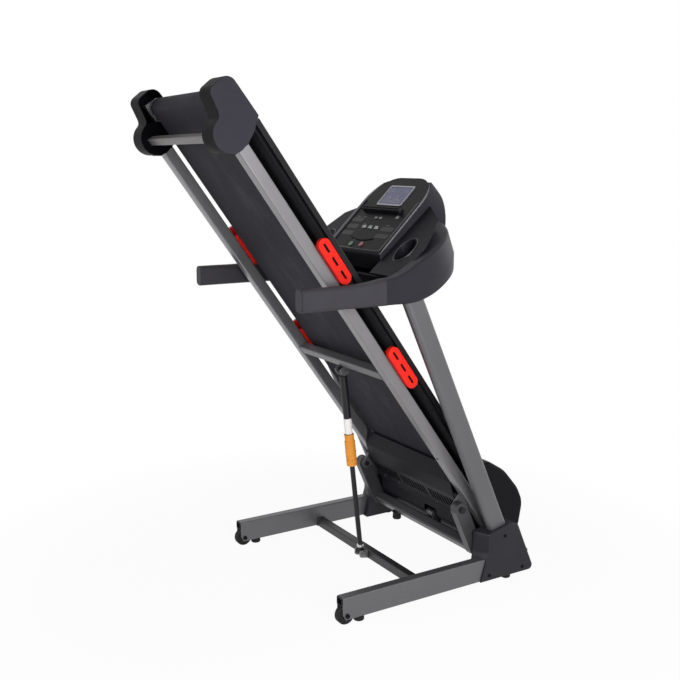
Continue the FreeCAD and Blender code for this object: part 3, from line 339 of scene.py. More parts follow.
FRAME_GREY = (0.114, 0.111, 0.118)
TUBE_SILVER = (0.192, 0.187, 0.196)
CHARCOAL = (0.0122, 0.0117, 0.0162)
ALIKE = (1, 1, 1)           # no stretch: the grain is the same every way

FINISHES = {
    "frame_metal": coated_steel("satin_grey_paint", FRAME_GREY, 0.42, 0.55),
    "bright_tube": coated_steel("light_silver_paint", TUBE_SILVER, 0.38, 0.6, 0.08),
    "dark_steel": coated_steel("black_enamel", (0.0062, 0.0060, 0.0076), 0.46, 0.0, 0.05, 0.0),
    "bare_steel": bare_metal("drawn_steel", (0.42, 0.42, 0.43)),
    "charcoal_plastic": moulded("charcoal_moulding", CHARCOAL, 0.48, sheen=0.10),
    "grey_plastic": moulded("shoulder_moulding", (0.0200, 0.0192, 0.0250), 0.42, 1800, 0.00002,
                            0.14),
    "panel_plastic": moulded("face_panel_film", (0.0062, 0.0060, 0.0082), 0.36, 2400, 0.00002,
                             0.07, 0.2),
    "silver_trim": bare_metal("satin_trim", (0.30, 0.30, 0.31), 0.36, (40, 1, 40), 40),
    "screen": screen_glass("blue_display"),
    "belt_rubber": running_surface("ribbed_belt", (0.0155, 0.0140, 0.0200)),
    "foot_rubber": soft_rubber("black_rubber", (0.012, 0.012, 0.012)),
    "red_rubber": soft_rubber("red_cushion_rubber", (0.74, 0.020, 0.012), 0.46, 1200, 0.00006),
    "orange_plastic": moulded("orange_collar", (0.62, 0.235, 0.022), 0.38, 1500, 0.00004, 0.4, 0.8),
    "grip_foam": soft_rubber("grip_rubber", (0.0420, 0.0402, 0.0480), 0.55, 1600, 0.0001),
    "deck_wood": board_wood("sealed_black_board", (0.0112, 0.0105, 0.0128)),
    "roller_steel": bare_metal("turned_steel", (0.34, 0.34, 0.35), 0.34, (60, 1, 1), 30),
    "red_key": gloss_key("red_key_cap", (0.24, 0.014, 0.018)),
    "green_key": gloss_key("green_key_cap", (0.012, 0.115, 0.045)),
    "pale_key": gloss_key("pale_key_cap", (0.13, 0.133, 0.14)),
}
# the second colour, for the cap's rim, is painted shade
CAP_FACE = end_cap_with_shaded_rim("end_cap_moulding", (0.0340, 0.0330, 0.0425), (0.0012, 0.0011, 0.0020),
                    0.2885, 0.2915)
HOOD_FACE = moulded("hood_moulding", (0.0046, 0.0044, 0.0062), 0.44, 1700, 0.00005, 0.08)
OWN_FINISH = {
    "end_cap_left": CAP_FACE, "end_cap_right": CAP_FACE, "motor_hood": HOOD_FACE,
    "belly_pan": moulded("pan_moulding", (0.0080, 0.0077, 0.0108), 0.42, 1500, 0.00006, 0.08),
    "foot_rails": moulded("foot_rail_moulding", (0.0058, 0.0056, 0.0068), 0.42),
    # paler than the other dark mouldings: partly the pod's own grey, partly painted light that makes
    # up for shade on its sides and for its low sheen
    "console_housing": moulded("pod_moulding", (0.0310, 0.0300, 0.0375), 0.48, 1800, 0.00001, 0.02),
    "boot_left": moulded("boot_moulding", (0.0150, 0.0144, 0.0195), 0.40, 1500, 0.00005, 0.2),
    "strut_rod": FINISHES["dark_steel"],
    "console_trims": trim_metal("panel_trim", (0.040, 0.040, 0.044), (0.34, 0.34, 0.36)),
    "strut_bracket": coated_steel("bracket_zinc", (0.20, 0.198, 0.20), 0.4, 0.7),
    "actuator_tube": bare_metal("dull_tube_steel", (0.10, 0.10, 0.105), 0.4),
    "base_fasteners": bare_metal("black_bolt", (0.012, 0.012, 0.013), 0.45, ALIKE, 300),
    "lift_bolts": FINISHES["dark_steel"],
    "deck_end_bars": coated_steel("warm_grey_paint", (0.118, 0.112, 0.110), 0.42, 0.5),
    "lift_frame": coated_steel("lift_grey_paint", (0.054, 0.052, 0.057), 0.40, 0.5),
    "deck_mid_bar": coated_steel("mid_bar_paint", (0.115, 0.112, 0.119), 0.42, 0.5),
    # a darker copy of the frame's grey paint: painted shade on the crossbar low between the rails
    "base_crossbar": coated_steel("crossbar_shaded_paint", (0.040, 0.038, 0.041), 0.42, 0.4),
}
OWN_FINISH["boot_right"] = OWN_FINISH["boot_left"]
for number in "123":
    OWN_FINISH["key_quick_" + number] = gloss_key("quick_key_cap_" + number, (0.42, 0.43, 0.44))
SLOT_OF = {s["node"]: s["material_slot"] for s in frame["record"]["subparts"]}
for node_name, obj in NODES.items():
    obj.data.materials.clear()
    obj.data.materials.append(OWN_FINISH.get(node_name, FINISHES[SLOT_OF[node_name]]))

LABEL_WHITE = moulded("blank_label", (0.72, 0.71, 0.70), 0.5, 900, 0.00003, 0.3, 0.2)
# painted shade: near-black laid where the cushions' slots and the panel's groove would lie in shadow
RECESS_SHADE = moulded("painted_recess_shade", (0.004, 0.004, 0.0045), 0.75, 900, 0.00004, 0.15, 0.1)
MARK_GREY = gloss_key("panel_marking", (0.115, 0.118, 0.125))
TILE_GREY = moulded("panel_tile", (0.0060, 0.0058, 0.0078), 0.28, 2000, 0.00002, 0.16, 0.1)
SEGMENT = gloss_key("display_segment", (0.20, 0.21, 0.32))
# painted highlight: a pale strip standing for the light caught on the pod's rolled edges
EDGE_HIGHLIGHT_PAINT = coated_steel("pod_edge_painted_highlight", (0.190, 0.187, 0.200), 0.45, 0.35)
RIM_SATIN = moulded("cup_rim_gloss", (0.022, 0.021, 0.026), 0.3, 1800, 0.00003, 0.5, 0.2)
COVER_PLASTIC = moulded("cap_cover_moulding", (0.0042, 0.0040, 0.0054), 0.44, 1700, 0.00005, 0.08)
SCREW_STEEL = bare_metal("black_screw", (0.06, 0.06, 0.063), 0.42, ALIKE, 300)
BRIGHT_STEEL = bare_metal("plated_steel", (0.55, 0.55, 0.56), 0.25, ALIKE, 300)


# ---------------------------------------------------------------- piece making
def add_piece(name, bm, finish, body):
    """Turns bm into a piece that rides on body, with one finish and one slot."""
    mesh = bpy.data.meshes.new(name)
    bmesh.ops.remove_doubles(bm, verts=bm.verts, dist=1e-7)
    bmesh.ops.recalc_face_normals(bm, faces=bm.faces)
    bm.to_mesh(mesh)
    bm.free()
    return add_mesh(name, mesh, finish, body)


def add_mesh(name, mesh, finish, body):
    obj = bpy.data.objects.new(name, mesh)
    bpy.context.scene.collection.objects.link(obj)
    mesh.materials.clear()
    mesh.materials.append(finish)
    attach(obj, body)
    return obj


def around(steps):
    """Evenly spaced angles, once round."""
    return [2 * math.pi * i / steps for i in range(steps)]


def skin(bm, rings, closed=False):
    """Joins rings of equal length, and closes the two ends unless the last meets the first."""
    pairs = list(zip(rings, rings[1:])) + ([(rings[-1], rings[0])] if closed else [])
    for a, b in pairs:
        for i in range(len(a)):
            j = (i + 1) % len(a)
            bm.faces.new((a[i], a[j], b[j], b[i]))
    if not closed:
        bm.faces.new(rings[0][::-1])
        bm.faces.new(rings[-1])


def lathe(bm, start, axis, profile, steps=48):
    """Closed turned body: profile is a list of (distance along the axis, radius), metres."""
    axis = axis.normalized()
    u = axis.orthogonal().normalized()
    v = axis.cross(u)
    rings = []
    for s, r in profile:
        if r <= 0:
            rings.append([bm.verts.new(start + axis * s)])
            continue
        rings.append([bm.verts.new(start + axis * s + (u * math.cos(t) + v * math.sin(t)) * r)
                      for t in around(steps)])
    for low, high in zip(rings, rings[1:]):
        for i in range(steps):
            j = (i + 1) % steps
            loop = [low[i % len(low)], low[j % len(low)], high[j % len(high)], high[i % len(high)]]
            unique = list(dict.fromkeys(loop))
            if len(unique) > 2:
                bm.faces.new(unique)


def ring_lathe(bm, start, axis, profile, steps=48):
    """Turned ring: the profile closes on itself round a hollow middle."""
    lathe(bm, start, axis, profile + [profile[0]], steps)


def rounded_outline(x0, x1, y0, y1, r, steps=6):
    """Corners of a rectangle rounded to r, in steps each."""
    points = []
    for cx, cy, t0 in ((x1 - r, y1 - r, 0), (x0 + r, y1 - r, 90), (x0 + r, y0 + r, 180),
                       (x1 - r, y0 + r, 270)):
        for i in range(steps + 1):
            t = math.radians(t0 + 90 * i / steps)
            points.append((cx + r * math.cos(t), cy + r * math.sin(t)))
    return points


def tile(bm, place, outline, low, high, edge):
    """Flat tile with an eased top edge, in the (across, along, out) frame of place."""
    cx = sum(p[0] for p in outline) / len(outline)
    cy = sum(p[1] for p in outline) / len(outline)

    def ring(w, k):
        out = []
        for x, y in outline:
            d = math.hypot(x - cx, y - cy) or 1
            out.append(bm.verts.new(place(x - (x - cx) / d * k, y - (y - cy) / d * k, w)))
        return out

    skin(bm, [ring(low, 0), ring(high - edge, 0), ring(high, edge)])


def tube_path(bm, points, radius, sides=8, closed=False, ripple=0.0):
    """Round bead along a path, with weld ripples if asked for."""
    least = 0.3             # shorter than this, the path runs too nearly across
    n = len(points)
    rings = []
    for i, p in enumerate(points):
        before = points[i - 1] if (i or closed) else p
        after = points[(i + 1) % n] if (i < n - 1 or closed) else p
        axis = (after - before).normalized()
        u = SIDEWAYS - axis * axis.x
        if u.length < least:
            u = Vector((0, 0, 1)) - axis * axis.z
        u.normalize()
        v = axis.cross(u)
        r = radius * (1 + ripple * math.sin(i * 2.1) + ripple * 0.6 * math.sin(i * 5.3))
        rings.append([bm.verts.new(p + (u * math.cos(t) + v * math.sin(t)) * r)
                      for t in around(sides)])
    skin(bm, rings, closed)


def line_points(a, b, step):
    """Places from a to b, about a step apart."""
    n = max(2, int((b - a).length / step))
    return [a.lerp(b, i / n) for i in range(n + 1)]


# ---------------------------------------------------------------- repeated hardware
class Tree:
    """Geometry Nodes tree with named number inputs."""

    def __init__(self, name, inputs):
        self.group = bpy.data.node_groups.new(name, "GeometryNodeTree")
        face = self.group.interface
        face.new_socket("Geometry", in_out="INPUT", socket_type="NodeSocketGeometry")
        self.inputs = {}
        for key, kind in inputs:
            self.inputs[key] = face.new_socket(key, in_out="INPUT", socket_type=kind).identifier
        face.new_socket("Geometry", in_out="OUTPUT", socket_type="NodeSocketGeometry")
        self.start = self.group.nodes.new("NodeGroupInput")
        self.end = self.group.nodes.new("NodeGroupOutput")

    def add(self, kind, settings, sockets):
        n = self.group.nodes.new(kind)
        for key, value in settings.items():
            setattr(n, key, value)
        for key, value in sockets.items():
            if isinstance(value, bpy.types.NodeSocket):
                self.group.links.new(value, n.inputs[key])
            else:
                n.inputs[key].default_value = value
        return n

    def given(self, key):
        return self.start.outputs[key]

    def repeat(self, thing, turned):
        """Ends the tree with one thing on each point, turned so, as real geometry."""
        put = self.add("GeometryNodeInstanceOnPoints", {}, {"Points": self.given("Geometry"),
                                                            "Instance": thing.outputs[0],
                                                            "Rotation": turned.outputs[0]})
        real = self.add("GeometryNodeRealizeInstances", {}, {"Geometry": put.outputs[0]})
        self.group.links.new(real.outputs[0], self.end.inputs["Geometry"])

    def direction(self, key):
        """One of the directions that grow() stores on the points."""
        return self.add("GeometryNodeInputNamedAttribute", {"data_type": "FLOAT_VECTOR"},
                        {"Name": key}).outputs[0]


def screw_tree():
    """Domed screw heads with a socket on each point, turned to the point's own aim."""
    t = Tree("screw_heads", [("Head Radius", "NodeSocketFloat"), ("Head Height", "NodeSocketFloat"),
                             ("Socket Radius", "NodeSocketFloat")])
    half = t.add("ShaderNodeMath", {"operation": "MULTIPLY"}, {0: t.given("Head Radius"), 1: 0.74})
    dome = t.add("GeometryNodeMeshCone", {}, {"Vertices": 20, "Side Segments": 2,
                                              "Radius Top": half.outputs[0],
                                              "Radius Bottom": t.given("Head Radius"),
                                              "Depth": t.given("Head Height")})
    lift = t.add("ShaderNodeCombineXYZ", {}, {"Z": t.given("Head Height")})
    collar = t.add("GeometryNodeMeshCone", {}, {"Vertices": 6, "Radius Top": t.given("Socket Radius"),
                                                "Radius Bottom": t.given("Socket Radius"),
                                                "Depth": 0.0004})
    seat = t.add("GeometryNodeTransform", {}, {"Geometry": collar.outputs[0],
                                               "Translation": lift.outputs[0]})
    join = t.add("GeometryNodeJoinGeometry", {}, {})
    t.group.links.new(dome.outputs[0], join.inputs[0])
    t.group.links.new(seat.outputs[0], join.inputs[0])
    turn = t.add("FunctionNodeAlignRotationToVector", {"axis": "Z"}, {"Vector": t.direction("aim")})
    t.repeat(join, turn)
    return t


def rib_tree():
    """Bars of one size on each point, laid along the point's aim and standing on its out."""
    t = Tree("rib_bars", [("Bar Length", "NodeSocketFloat"), ("Bar Width", "NodeSocketFloat"),
                          ("Bar Height", "NodeSocketFloat")])
    size = t.add("ShaderNodeCombineXYZ", {}, {"X": t.given("Bar Width"), "Y": t.given("Bar Height"),
                                              "Z": t.given("Bar Length")})
    bar = t.add("GeometryNodeMeshCube", {}, {"Size": size.outputs[0], "Vertices X": 2,
                                             "Vertices Y": 2, "Vertices Z": 2})
    one = t.add("FunctionNodeAlignRotationToVector", {"axis": "Z"}, {"Vector": t.direction("aim")})
    two = t.add("FunctionNodeAlignRotationToVector", {"axis": "Y", "pivot_axis": "Z"},
                {"Rotation": one.outputs[0], "Vector": t.direction("out")})
    t.repeat(bar, two)
    return t


def grow(name, tree, points, values, finish, body):
    """Runs a tree on (place, aim, out) points and keeps the result as a plain mesh."""
    seed = bpy.data.meshes.new(name + "_points")
    seed.from_pydata([p[0] for p in points], [], [])
    for key, column in (("aim", 1), ("out", 2)):
        layer = seed.attributes.new(key, "FLOAT_VECTOR", "POINT")
        for i, p in enumerate(points):
            layer.data[i].vector = p[column] if len(p) > column else (0, 0, 1)
    holder = bpy.data.objects.new(name + "_points", seed)
    bpy.context.scene.collection.objects.link(holder)
    mod = holder.modifiers.new("repeat", "NODES")
    mod.node_group = tree.group
    for key, value in values.items():
        mod[tree.inputs[key]] = value
    graph = bpy.context.evaluated_depsgraph_get()
    mesh = bpy.data.meshes.new_from_object(holder.evaluated_get(graph))
    mesh.name = name
    bpy.data.objects.remove(holder)
    return add_mesh(name, mesh, finish, body)


SCREWS = screw_tree()
RIBS = rib_tree()


# ---------------------------------------------------------------- strut
STRUT_TOP = deck_place(0, -633.8, 63)       # the upper eye, in the middle crossbar's ears
STRUT_FOOT = base_place(0, 283, 35)         # the lower eye, in the base crossbar's bracket
LABEL_AT = 0.154                            # metres down from the upper eye
LABEL_PROFILE = [(0.0, 0.01205), (0.0, 0.01225), (0.0008, 0.0124), (0.0502, 0.0124),
                 (0.051, 0.01225), (0.051, 0.01205)]
BANDS = (("sleeve_upper_band", 0.2035, 0.0152), ("sleeve_middle_band", 0.262, 0.0171))
BAND_PROUD = 0.0006
COLLAR_AT = 0.030                           # metres up from the lower eye
COLLAR_PROFILE = [(0.0, 0.0081), (0.001, 0.0108), (0.009, 0.0112), (0.010, 0.0081)]


def strut_details():
    """Blank label and sleeve bands on the upper tube, plated collar at the rod's foot."""
    axis = (STRUT_FOOT - STRUT_TOP).normalized()
    bm = bmesh.new()
    ring_lathe(bm, STRUT_TOP + axis * LABEL_AT, axis, LABEL_PROFILE, 64)
    add_piece("strut_label", bm, LABEL_WHITE, "strut_upper")
    for name, at, radius in BANDS:
        bm = bmesh.new()
        ring_lathe(bm, STRUT_TOP + axis * at, axis,
                   [(0.004, radius), (0.0042, radius + BAND_PROUD), (0.0072, radius + BAND_PROUD),
                    (0.0074, radius)], 64)
        add_piece(name, bm, FINISHES["orange_plastic"], "strut_upper")
    bm = bmesh.new()
    ring_lathe(bm, STRUT_FOOT - axis * COLLAR_AT, axis, COLLAR_PROFILE, 48)
    add_piece("strut_lower_collar", bm, BRIGHT_STEEL, "strut_lower")


# ---------------------------------------------------------------- lift frame bumper
BUMPER_X = -150
LIFT_TUBE_HALF = 19.5                       # half the thickness of the lift frame's cross tube
BUMPER_PROFILE = [(0.0, 0.0), (0.0, 0.016), (0.0025, 0.0165), (0.004, 0.0135), (0.016, 0.015),
                  (0.022, 0.0155), (0.0262, 0.0135), (0.0275, 0.009), (0.0275, 0.0)]


def lift_bumper():
    """Rubber stop knob under the lift frame's cross tube, with its washer."""
    seat = base_place(BUMPER_X, FOLD_Y, FOLD_Z - LIFT_TUBE_HALF)
    bm = bmesh.new()
    lathe(bm, seat, -Vector((0, 0, 1)), BUMPER_PROFILE, 40)
    add_piece("lift_bumper", bm, FINISHES["foot_rubber"], "lift")


# ---------------------------------------------------------------- console face
FIGURE_WIDE, FIGURE_HIGH = 6.6, 12.5
FIGURE_PITCH = 9.5
FIGURE_LINE = 307                           # where the figures stand, up the panel
FIGURE_GROUPS = ((-52, 3), (-10, 2), (24, 3))
CHART_LEFT, CHART_FLOOR = -46, 263          # the bar chart's corner
CHART_COLUMNS = 14
COLUMN_PITCH, ROW_PITCH = 6.6, 4.6
BLOCK_WIDE, BLOCK_HIGH = 5, 3.6
SCREEN_FACE = 0.95                          # the display's face, out of the panel
TILES = ((-132, -66, 176, 194), (-132, -66, 148, 166), (60, 128, 148, 166), (60, 128, 120, 138),
         (-132, -66, 120, 138))
ARROWS = ((-31, 103), (25, 106))
DASHES = ((-118, 198, 20), (-82, 198, 12), (72, 171, 20), (-50, 171, 8))
GROOVE_HALF, GROOVE_END, GROOVE_SAG = 62, 116, 10
LINE_HALF, LINE_END, LINE_SAG = 140, 74, 3
LEDGE_EDGE = ((-104, 230, 15.2), (92, 230, 15.2))


def zero_figure(bm, x, p):
    """The figure 0 in six raised bars, its lower left corner at x, p."""
    t = 0.16 * FIGURE_HIGH
    top = p + FIGURE_HIGH
    mid = p + FIGURE_HIGH / 2
    far = x + FIGURE_WIDE
    across = (x + t / 2, far - t / 2)
    left = (x, x + t)
    right = (far - t, far)
    lower = (p + t * 0.4, mid - t * 0.3)
    upper = (mid + t * 0.3, top - t * 0.4)
    for (x0, x1), (p0, p1) in ((across, (top - t, top)), (right, upper), (right, lower),
                               (across, (p, p + t)), (left, lower), (left, upper)):
        tile(bm, panel_place, rounded_outline(x0, x1, p0, p1, t * 0.3, 2), SCREEN_FACE, 1.25, 0.08)


def display_figures():
    """Three groups of noughts side by side, over a bar chart."""
    bm = bmesh.new()
    for x, count in FIGURE_GROUPS:
        for i in range(count):
            zero_figure(bm, x + i * FIGURE_PITCH, FIGURE_LINE)
    for column in range(CHART_COLUMNS):
        x = CHART_LEFT + column * COLUMN_PITCH
        high = 3 + round(9 * abs(math.sin(column * 0.55)))
        for row in range(high // 2 + 1):
            p = CHART_FLOOR + row * ROW_PITCH
            block = rounded_outline(x, x + BLOCK_WIDE, p, p + BLOCK_HIGH, 0.6, 2)
            tile(bm, panel_place, block, SCREEN_FACE, 1.22, 0.08)
    add_piece("display_figures", bm, SEGMENT, "base")


def panel_details():
    """Raised tiles, groove, lower line and small marks on the face panel; the ledge's rolled edge."""
    bm = bmesh.new()
    for x0, x1, p0, p1 in TILES:
        tile(bm, panel_place, rounded_outline(x0, x1, p0, p1, 8.5, 8), -0.1, 0.6, 0.3)
    add_piece("panel_tiles", bm, TILE_GREY, "base")
    bm = bmesh.new()
    # the groove is a near-black bead on the panel's face: painted shade in place of a cut groove
    groove = [panel_place(x, GROOVE_END - GROOVE_SAG * (1 - (x / GROOVE_HALF) ** 2), 0.3)
              for x in range(-GROOVE_HALF, GROOVE_HALF + 1, 4)]
    tube_path(bm, groove, 0.0022, 8)
    add_piece("panel_groove_bead", bm, RECESS_SHADE, "base")
    bm = bmesh.new()
    line = [panel_place(x, LINE_END - LINE_SAG * (1 - (x / LINE_HALF) ** 2), 0.25)
            for x in range(-LINE_HALF, LINE_HALF + 1, 10)]
    tube_path(bm, line, 0.0009, 6)
    add_piece("panel_lower_line", bm, MARK_GREY, "base")
    bm = bmesh.new()
    for x, p in ARROWS:
        tile(bm, panel_place, [(x - 3, p), (x + 3, p), (x, p + 5)], -0.05, 0.3, 0.1)
    for x, p, w in DASHES:
        tile(bm, panel_place, rounded_outline(x, x + w, p, p + 1.6, 0.7, 2), -0.05, 0.3, 0.1)
    add_piece("panel_markings", bm, MARK_GREY, "base")
    bm = bmesh.new()
    start, end = [panel_place(*place) for place in LEDGE_EDGE]
    tube_path(bm, line_points(start, end, 0.012), 0.0028, 10)
    add_piece("ledge_rolled_edge", bm, FINISHES["charcoal_plastic"], "base")


# ---------------------------------------------------------------- pod, end caps and cup wells
POD_HALF = 160                              # half the pod's width
POD_TOP = 380                               # the pod's height, up the panel
POD_ARCH = 112                              # radius of the pod's two upper corners
ARCH_X = POD_HALF - POD_ARCH
BAND_INSET = 4.8                            # from the pod's outline to the middle of the band
BAND_HALF, BAND_FLAT = 4.5, 0.45            # half its width, and its height to its width
BAND_FROM, BAND_STEP = 62, 8                # where it starts, up the panel, and in what steps
CREST_INSET = 7                             # from the pod's outline to the lip
CREST_DROP = 4                              # the lip's top below that outline
CREST_FROM = math.radians(47)               # where round the arch the lip starts
CREST_SECTION = [(0.3, -24), (0.3, 0.2), (0.8, 0.9), (1.5, 0.7), (1.9, 0.0), (2.0, -24)]
DECK_REAR = -1519                           # the rear end of the deck's side tubes
CAP_TOP = 162                               # the end cap's upper face, 20 from the tubes' ends
CAP_FALL = 5 / 131
CAP_SLOT = (237, 265, -80.5, -26)
CUP_X, CUP_Y, CUP_Z = 231, 284, 1046.3
CUP_RIM = 35.6
TRAY_SLOPE = math.tan(math.radians(41))


def edge_highlight_strips():
    """Pale band along each long edge of the pod's face, running a little way round the arch: a
    painted highlight for the light on the pod's rolled edges.
    """
    radius = POD_ARCH - BAND_INSET
    for side, label in SIDES:
        line = [(POD_HALF - BAND_INSET, BAND_FROM + BAND_STEP * i) for i in range(26)]
        line += [(ARCH_X + radius * math.cos(t), POD_TOP - POD_ARCH + radius * math.sin(t))
                 for t in (math.radians(4 * i) for i in range(1, 15))]
        bm = bmesh.new()
        rings = []
        for i, (x, p) in enumerate(line):
            share = i / (len(line) - 1)
            half = BAND_HALF * min(1, 0.35 + share * 6, 0.1 + (1 - share) * 3.2)
            rings.append([bm.verts.new(panel_place(side * (x + half * math.cos(t)), p,
                                                   half * BAND_FLAT * math.sin(t)))
                          for t in around(10)])
        skin(bm, rings)
        add_piece("pod_edge_band_" + label, bm, EDGE_HIGHLIGHT_PAINT, "base")


def pod_crest():
    """Moulded lip that closes the pod between the top of its face and its back."""
    radius = POD_ARCH - CREST_INSET
    centre_p = POD_TOP - CREST_INSET - CREST_DROP - radius
    arc = [CREST_FROM + (math.pi / 2 - CREST_FROM) * i / 14 for i in range(15)]
    half = [(ARCH_X + radius * math.cos(t), centre_p + radius * math.sin(t), t) for t in arc]
    line = half + [(x, centre_p + radius, math.pi / 2) for x in (32, 16, 0, -16, -32)]
    line += [(-x, p, math.pi - t) for x, p, t in half[::-1]]
    bm = bmesh.new()
    skin(bm, [[bm.verts.new(panel_place(x + out * math.cos(t), p + out * math.sin(t), w))
               for out, w in CREST_SECTION] for x, p, t in line])
    add_piece("pod_crest_lip", bm, OWN_FINISH["console_housing"], "base")


def cap_covers():
    """Eased cover plate over the roller block on the upper side of each end cap."""
    for side, label in SIDES:
        bm = bmesh.new()

        def cap_place(u, v, w, side=side):
            return deck_place(side * u, v + DECK_REAR, CAP_TOP + (v - 20) * CAP_FALL + w)

        tile(bm, cap_place, rounded_outline(*CAP_SLOT, 5, 6), -1.0, 1.2, 0.7)
        add_piece("cap_cover_" + label, bm, COVER_PLASTIC, "deck")


def cup_rims():
    """Rolled rim round each cup well, lying on the sloping tray."""
    for side, label in SIDES:
        bm = bmesh.new()
        rim = []
        for t in around(56):
            y = CUP_RIM * math.sin(t)
            rim.append(base_place(side * CUP_X + CUP_RIM * math.cos(t), CUP_Y + y,
                                  CUP_Z + y * TRAY_SLOPE))
        tube_path(bm, rim, 0.0017, 10, True)
        add_piece("cup_rim_" + label, bm, RIM_SATIN, "base")


# ---------------------------------------------------------------- cushions
CUSHIONS = (-1061, -669)                    # their middles, along the deck
CUSHION_FACE = 284                          # their outer faces, across
SLOT_UP = 104 - 0.5 + 19                    # the slots' middles, up off the deck
SLOT_PITCH = 46
SLOT_HALF_LONG, SLOT_HALF_WIDE = 14.6, 3.1
TOOTH_PITCH = 3.0


def cushion_slots():
    """Slot floors with a toothed edge in each deck cushion, in near-black: painted shade for the
    inside of the slots.
    """
    bm = bmesh.new()
    teeth = []
    for side, label in SIDES:
        def side_place(u, v, w, side=side):
            return deck_place(side * (CUSHION_FACE + w), u, v)

        for c in (a + k * SLOT_PITCH for a in CUSHIONS for k in (-1, 0, 1)):
            outline = rounded_outline(c - SLOT_HALF_LONG, c + SLOT_HALF_LONG,
                                      SLOT_UP - SLOT_HALF_WIDE, SLOT_UP + SLOT_HALF_WIDE, 3, 4)
            tile(bm, side_place, outline, -0.4, 0.6, 0.2)
            for i in range(9):
                for edge in (-1, 1):
                    place = side_place(c - 12 + i * TOOTH_PITCH, SLOT_UP + edge * 2.7, 2.5)
                    teeth.append((place, tuple(SIDEWAYS), tuple(DECK_UP)))
    add_piece("cushion_slot_floors", bm, RECESS_SHADE, "deck")
    grow("cushion_slot_teeth", RIBS, teeth,
         {"Bar Length": 0.0046, "Bar Width": 0.0014, "Bar Height": 0.0012}, RECESS_SHADE, "deck")


# ---------------------------------------------------------------- screws
PAN_SCREWS = [(x, -92, 44.0) for x in (-200, -110, 110, 200)]
TUBE_SCREWS = [(side * 258, -330, 67.9) for side, label in SIDES]


def screws():
    """Domed heads under the belly pan's front edge and under the side tubes."""
    heads = [(deck_place(*place), tuple(-DECK_UP)) for place in PAN_SCREWS + TUBE_SCREWS]
    grow("pan_and_tube_screws", SCREWS, heads,
         {"Head Radius": 0.0042, "Head Height": 0.0018, "Socket Radius": 0.0018}, SCREW_STEEL,
         "deck")


# ---------------------------------------------------------------- welds
CROSSBAR_END = (317.6, 313.5, 29.5)         # where the base crossbar meets a rail
CROSSBAR_HALF = 14.5
MID_BAR_END = (240.7, -667, 82)             # where the deck's middle crossbar meets a side tube
MID_BAR_HALF = 14
WELD_RIPPLE = 0.22


def square_loop(place, half, step=0.003):
    """Closed path round a square of the given half side."""
    corners = [place(-half, -half), place(half, -half), place(half, half), place(-half, half)]
    points = []
    for a, b in zip(corners, corners[1:] + corners[:1]):
        points += line_points(a, b, step)[:-1]
    return points


def weld(name, spot, end, side, half, radius, finish, body):
    """Rippled bead round a square tube's end; spot is base_place or deck_place."""
    x, y, z = end
    bm = bmesh.new()
    path = square_loop(lambda u, v: spot(side * x, y + u, z + v), half)
    tube_path(bm, path, radius, 8, True, WELD_RIPPLE)
    add_piece(name, bm, finish, body)


def welds():
    """Beads at both ends of the base crossbar and of the deck's middle crossbar."""
    for side, label in SIDES:
        weld("crossbar_weld_" + label, base_place, CROSSBAR_END, side, CROSSBAR_HALF, 0.0016,
             OWN_FINISH["base_crossbar"], "base")
        weld("mid_bar_weld_" + label, deck_place, MID_BAR_END, side, MID_BAR_HALF, 0.0015,
             FINISHES["frame_metal"], "deck")


# ---------------------------------------------------------------- wheels
WHEEL_X, WHEEL_Y, WHEEL_Z = 344.4, 15, 28.6
HUB_PROFILE = [(0, 0.0125), (0.0012, 0.0132), (0.0012, 0.0150), (0, 0.0157)]
HUB_SUNK = 0.0002


def wheel_details():
    """Raised ring round each wheel's hub."""
    for side, label in SIDES:
        centre = base_place(side * WHEEL_X, WHEEL_Y, WHEEL_Z)
        bm = bmesh.new()
        ring_lathe(bm, centre - SIDEWAYS * side * HUB_SUNK, SIDEWAYS * side, HUB_PROFILE, 40)
        add_piece("wheel_hub_ring_" + label, bm, FINISHES["charcoal_plastic"], "wheel_" + label)


strut_details()
lift_bumper()
display_figures()
panel_details()
edge_highlight_strips()
pod_crest()
cap_covers()
cup_rims()
cushion_slots()
screws()
welds()
wheel_details()


# ---------------------------------------------------------------- camera, floor and light
AZIMUTH = math.radians(58.75)
ELEVATION = math.radians(10.65)
EYE_PLACE = (2.478, SHIFT - 1.301, 1.297)
FLOOR_HALF = 40
GLOW_NEAR, GLOW_FAR = 0.5, 2.2              # square metres from the middle, where the glow rises
MIDDLE = (0, 0, 0.7)
PURE_WHITE = (1, 1, 1, 1)


def studio_eye():
    """Camera that looks at the object from its right rear side."""
    back = Vector((math.sin(AZIMUTH) * math.cos(ELEVATION),
                   -math.cos(AZIMUTH) * math.cos(ELEVATION), math.sin(ELEVATION)))
    lens = bpy.data.cameras.new("eye")
    lens.lens = 50.23
    lens.sensor_width = 36.0
    lens.clip_start = 0.05
    camera = bpy.data.objects.new("eye", lens)
    bpy.context.scene.collection.objects.link(camera)
    camera.location = EYE_PLACE
    camera.rotation_euler = back.to_track_quat("Z", "Y").to_euler()
    bpy.context.scene.camera = camera


def seen_rays(nodes, links):
    """1 on rays from the eye, a mirror or glass; 0 on rays that light the object."""
    path = nodes.new("ShaderNodeLightPath")
    total = path.outputs["Is Camera Ray"]
    for key in ("Is Glossy Ray", "Is Transmission Ray"):
        n = nodes.new("ShaderNodeMath")
        n.operation = "MAXIMUM"
        links.new(total, n.inputs[0])
        links.new(path.outputs[key], n.inputs[1])
        total = n.outputs[0]
    return total


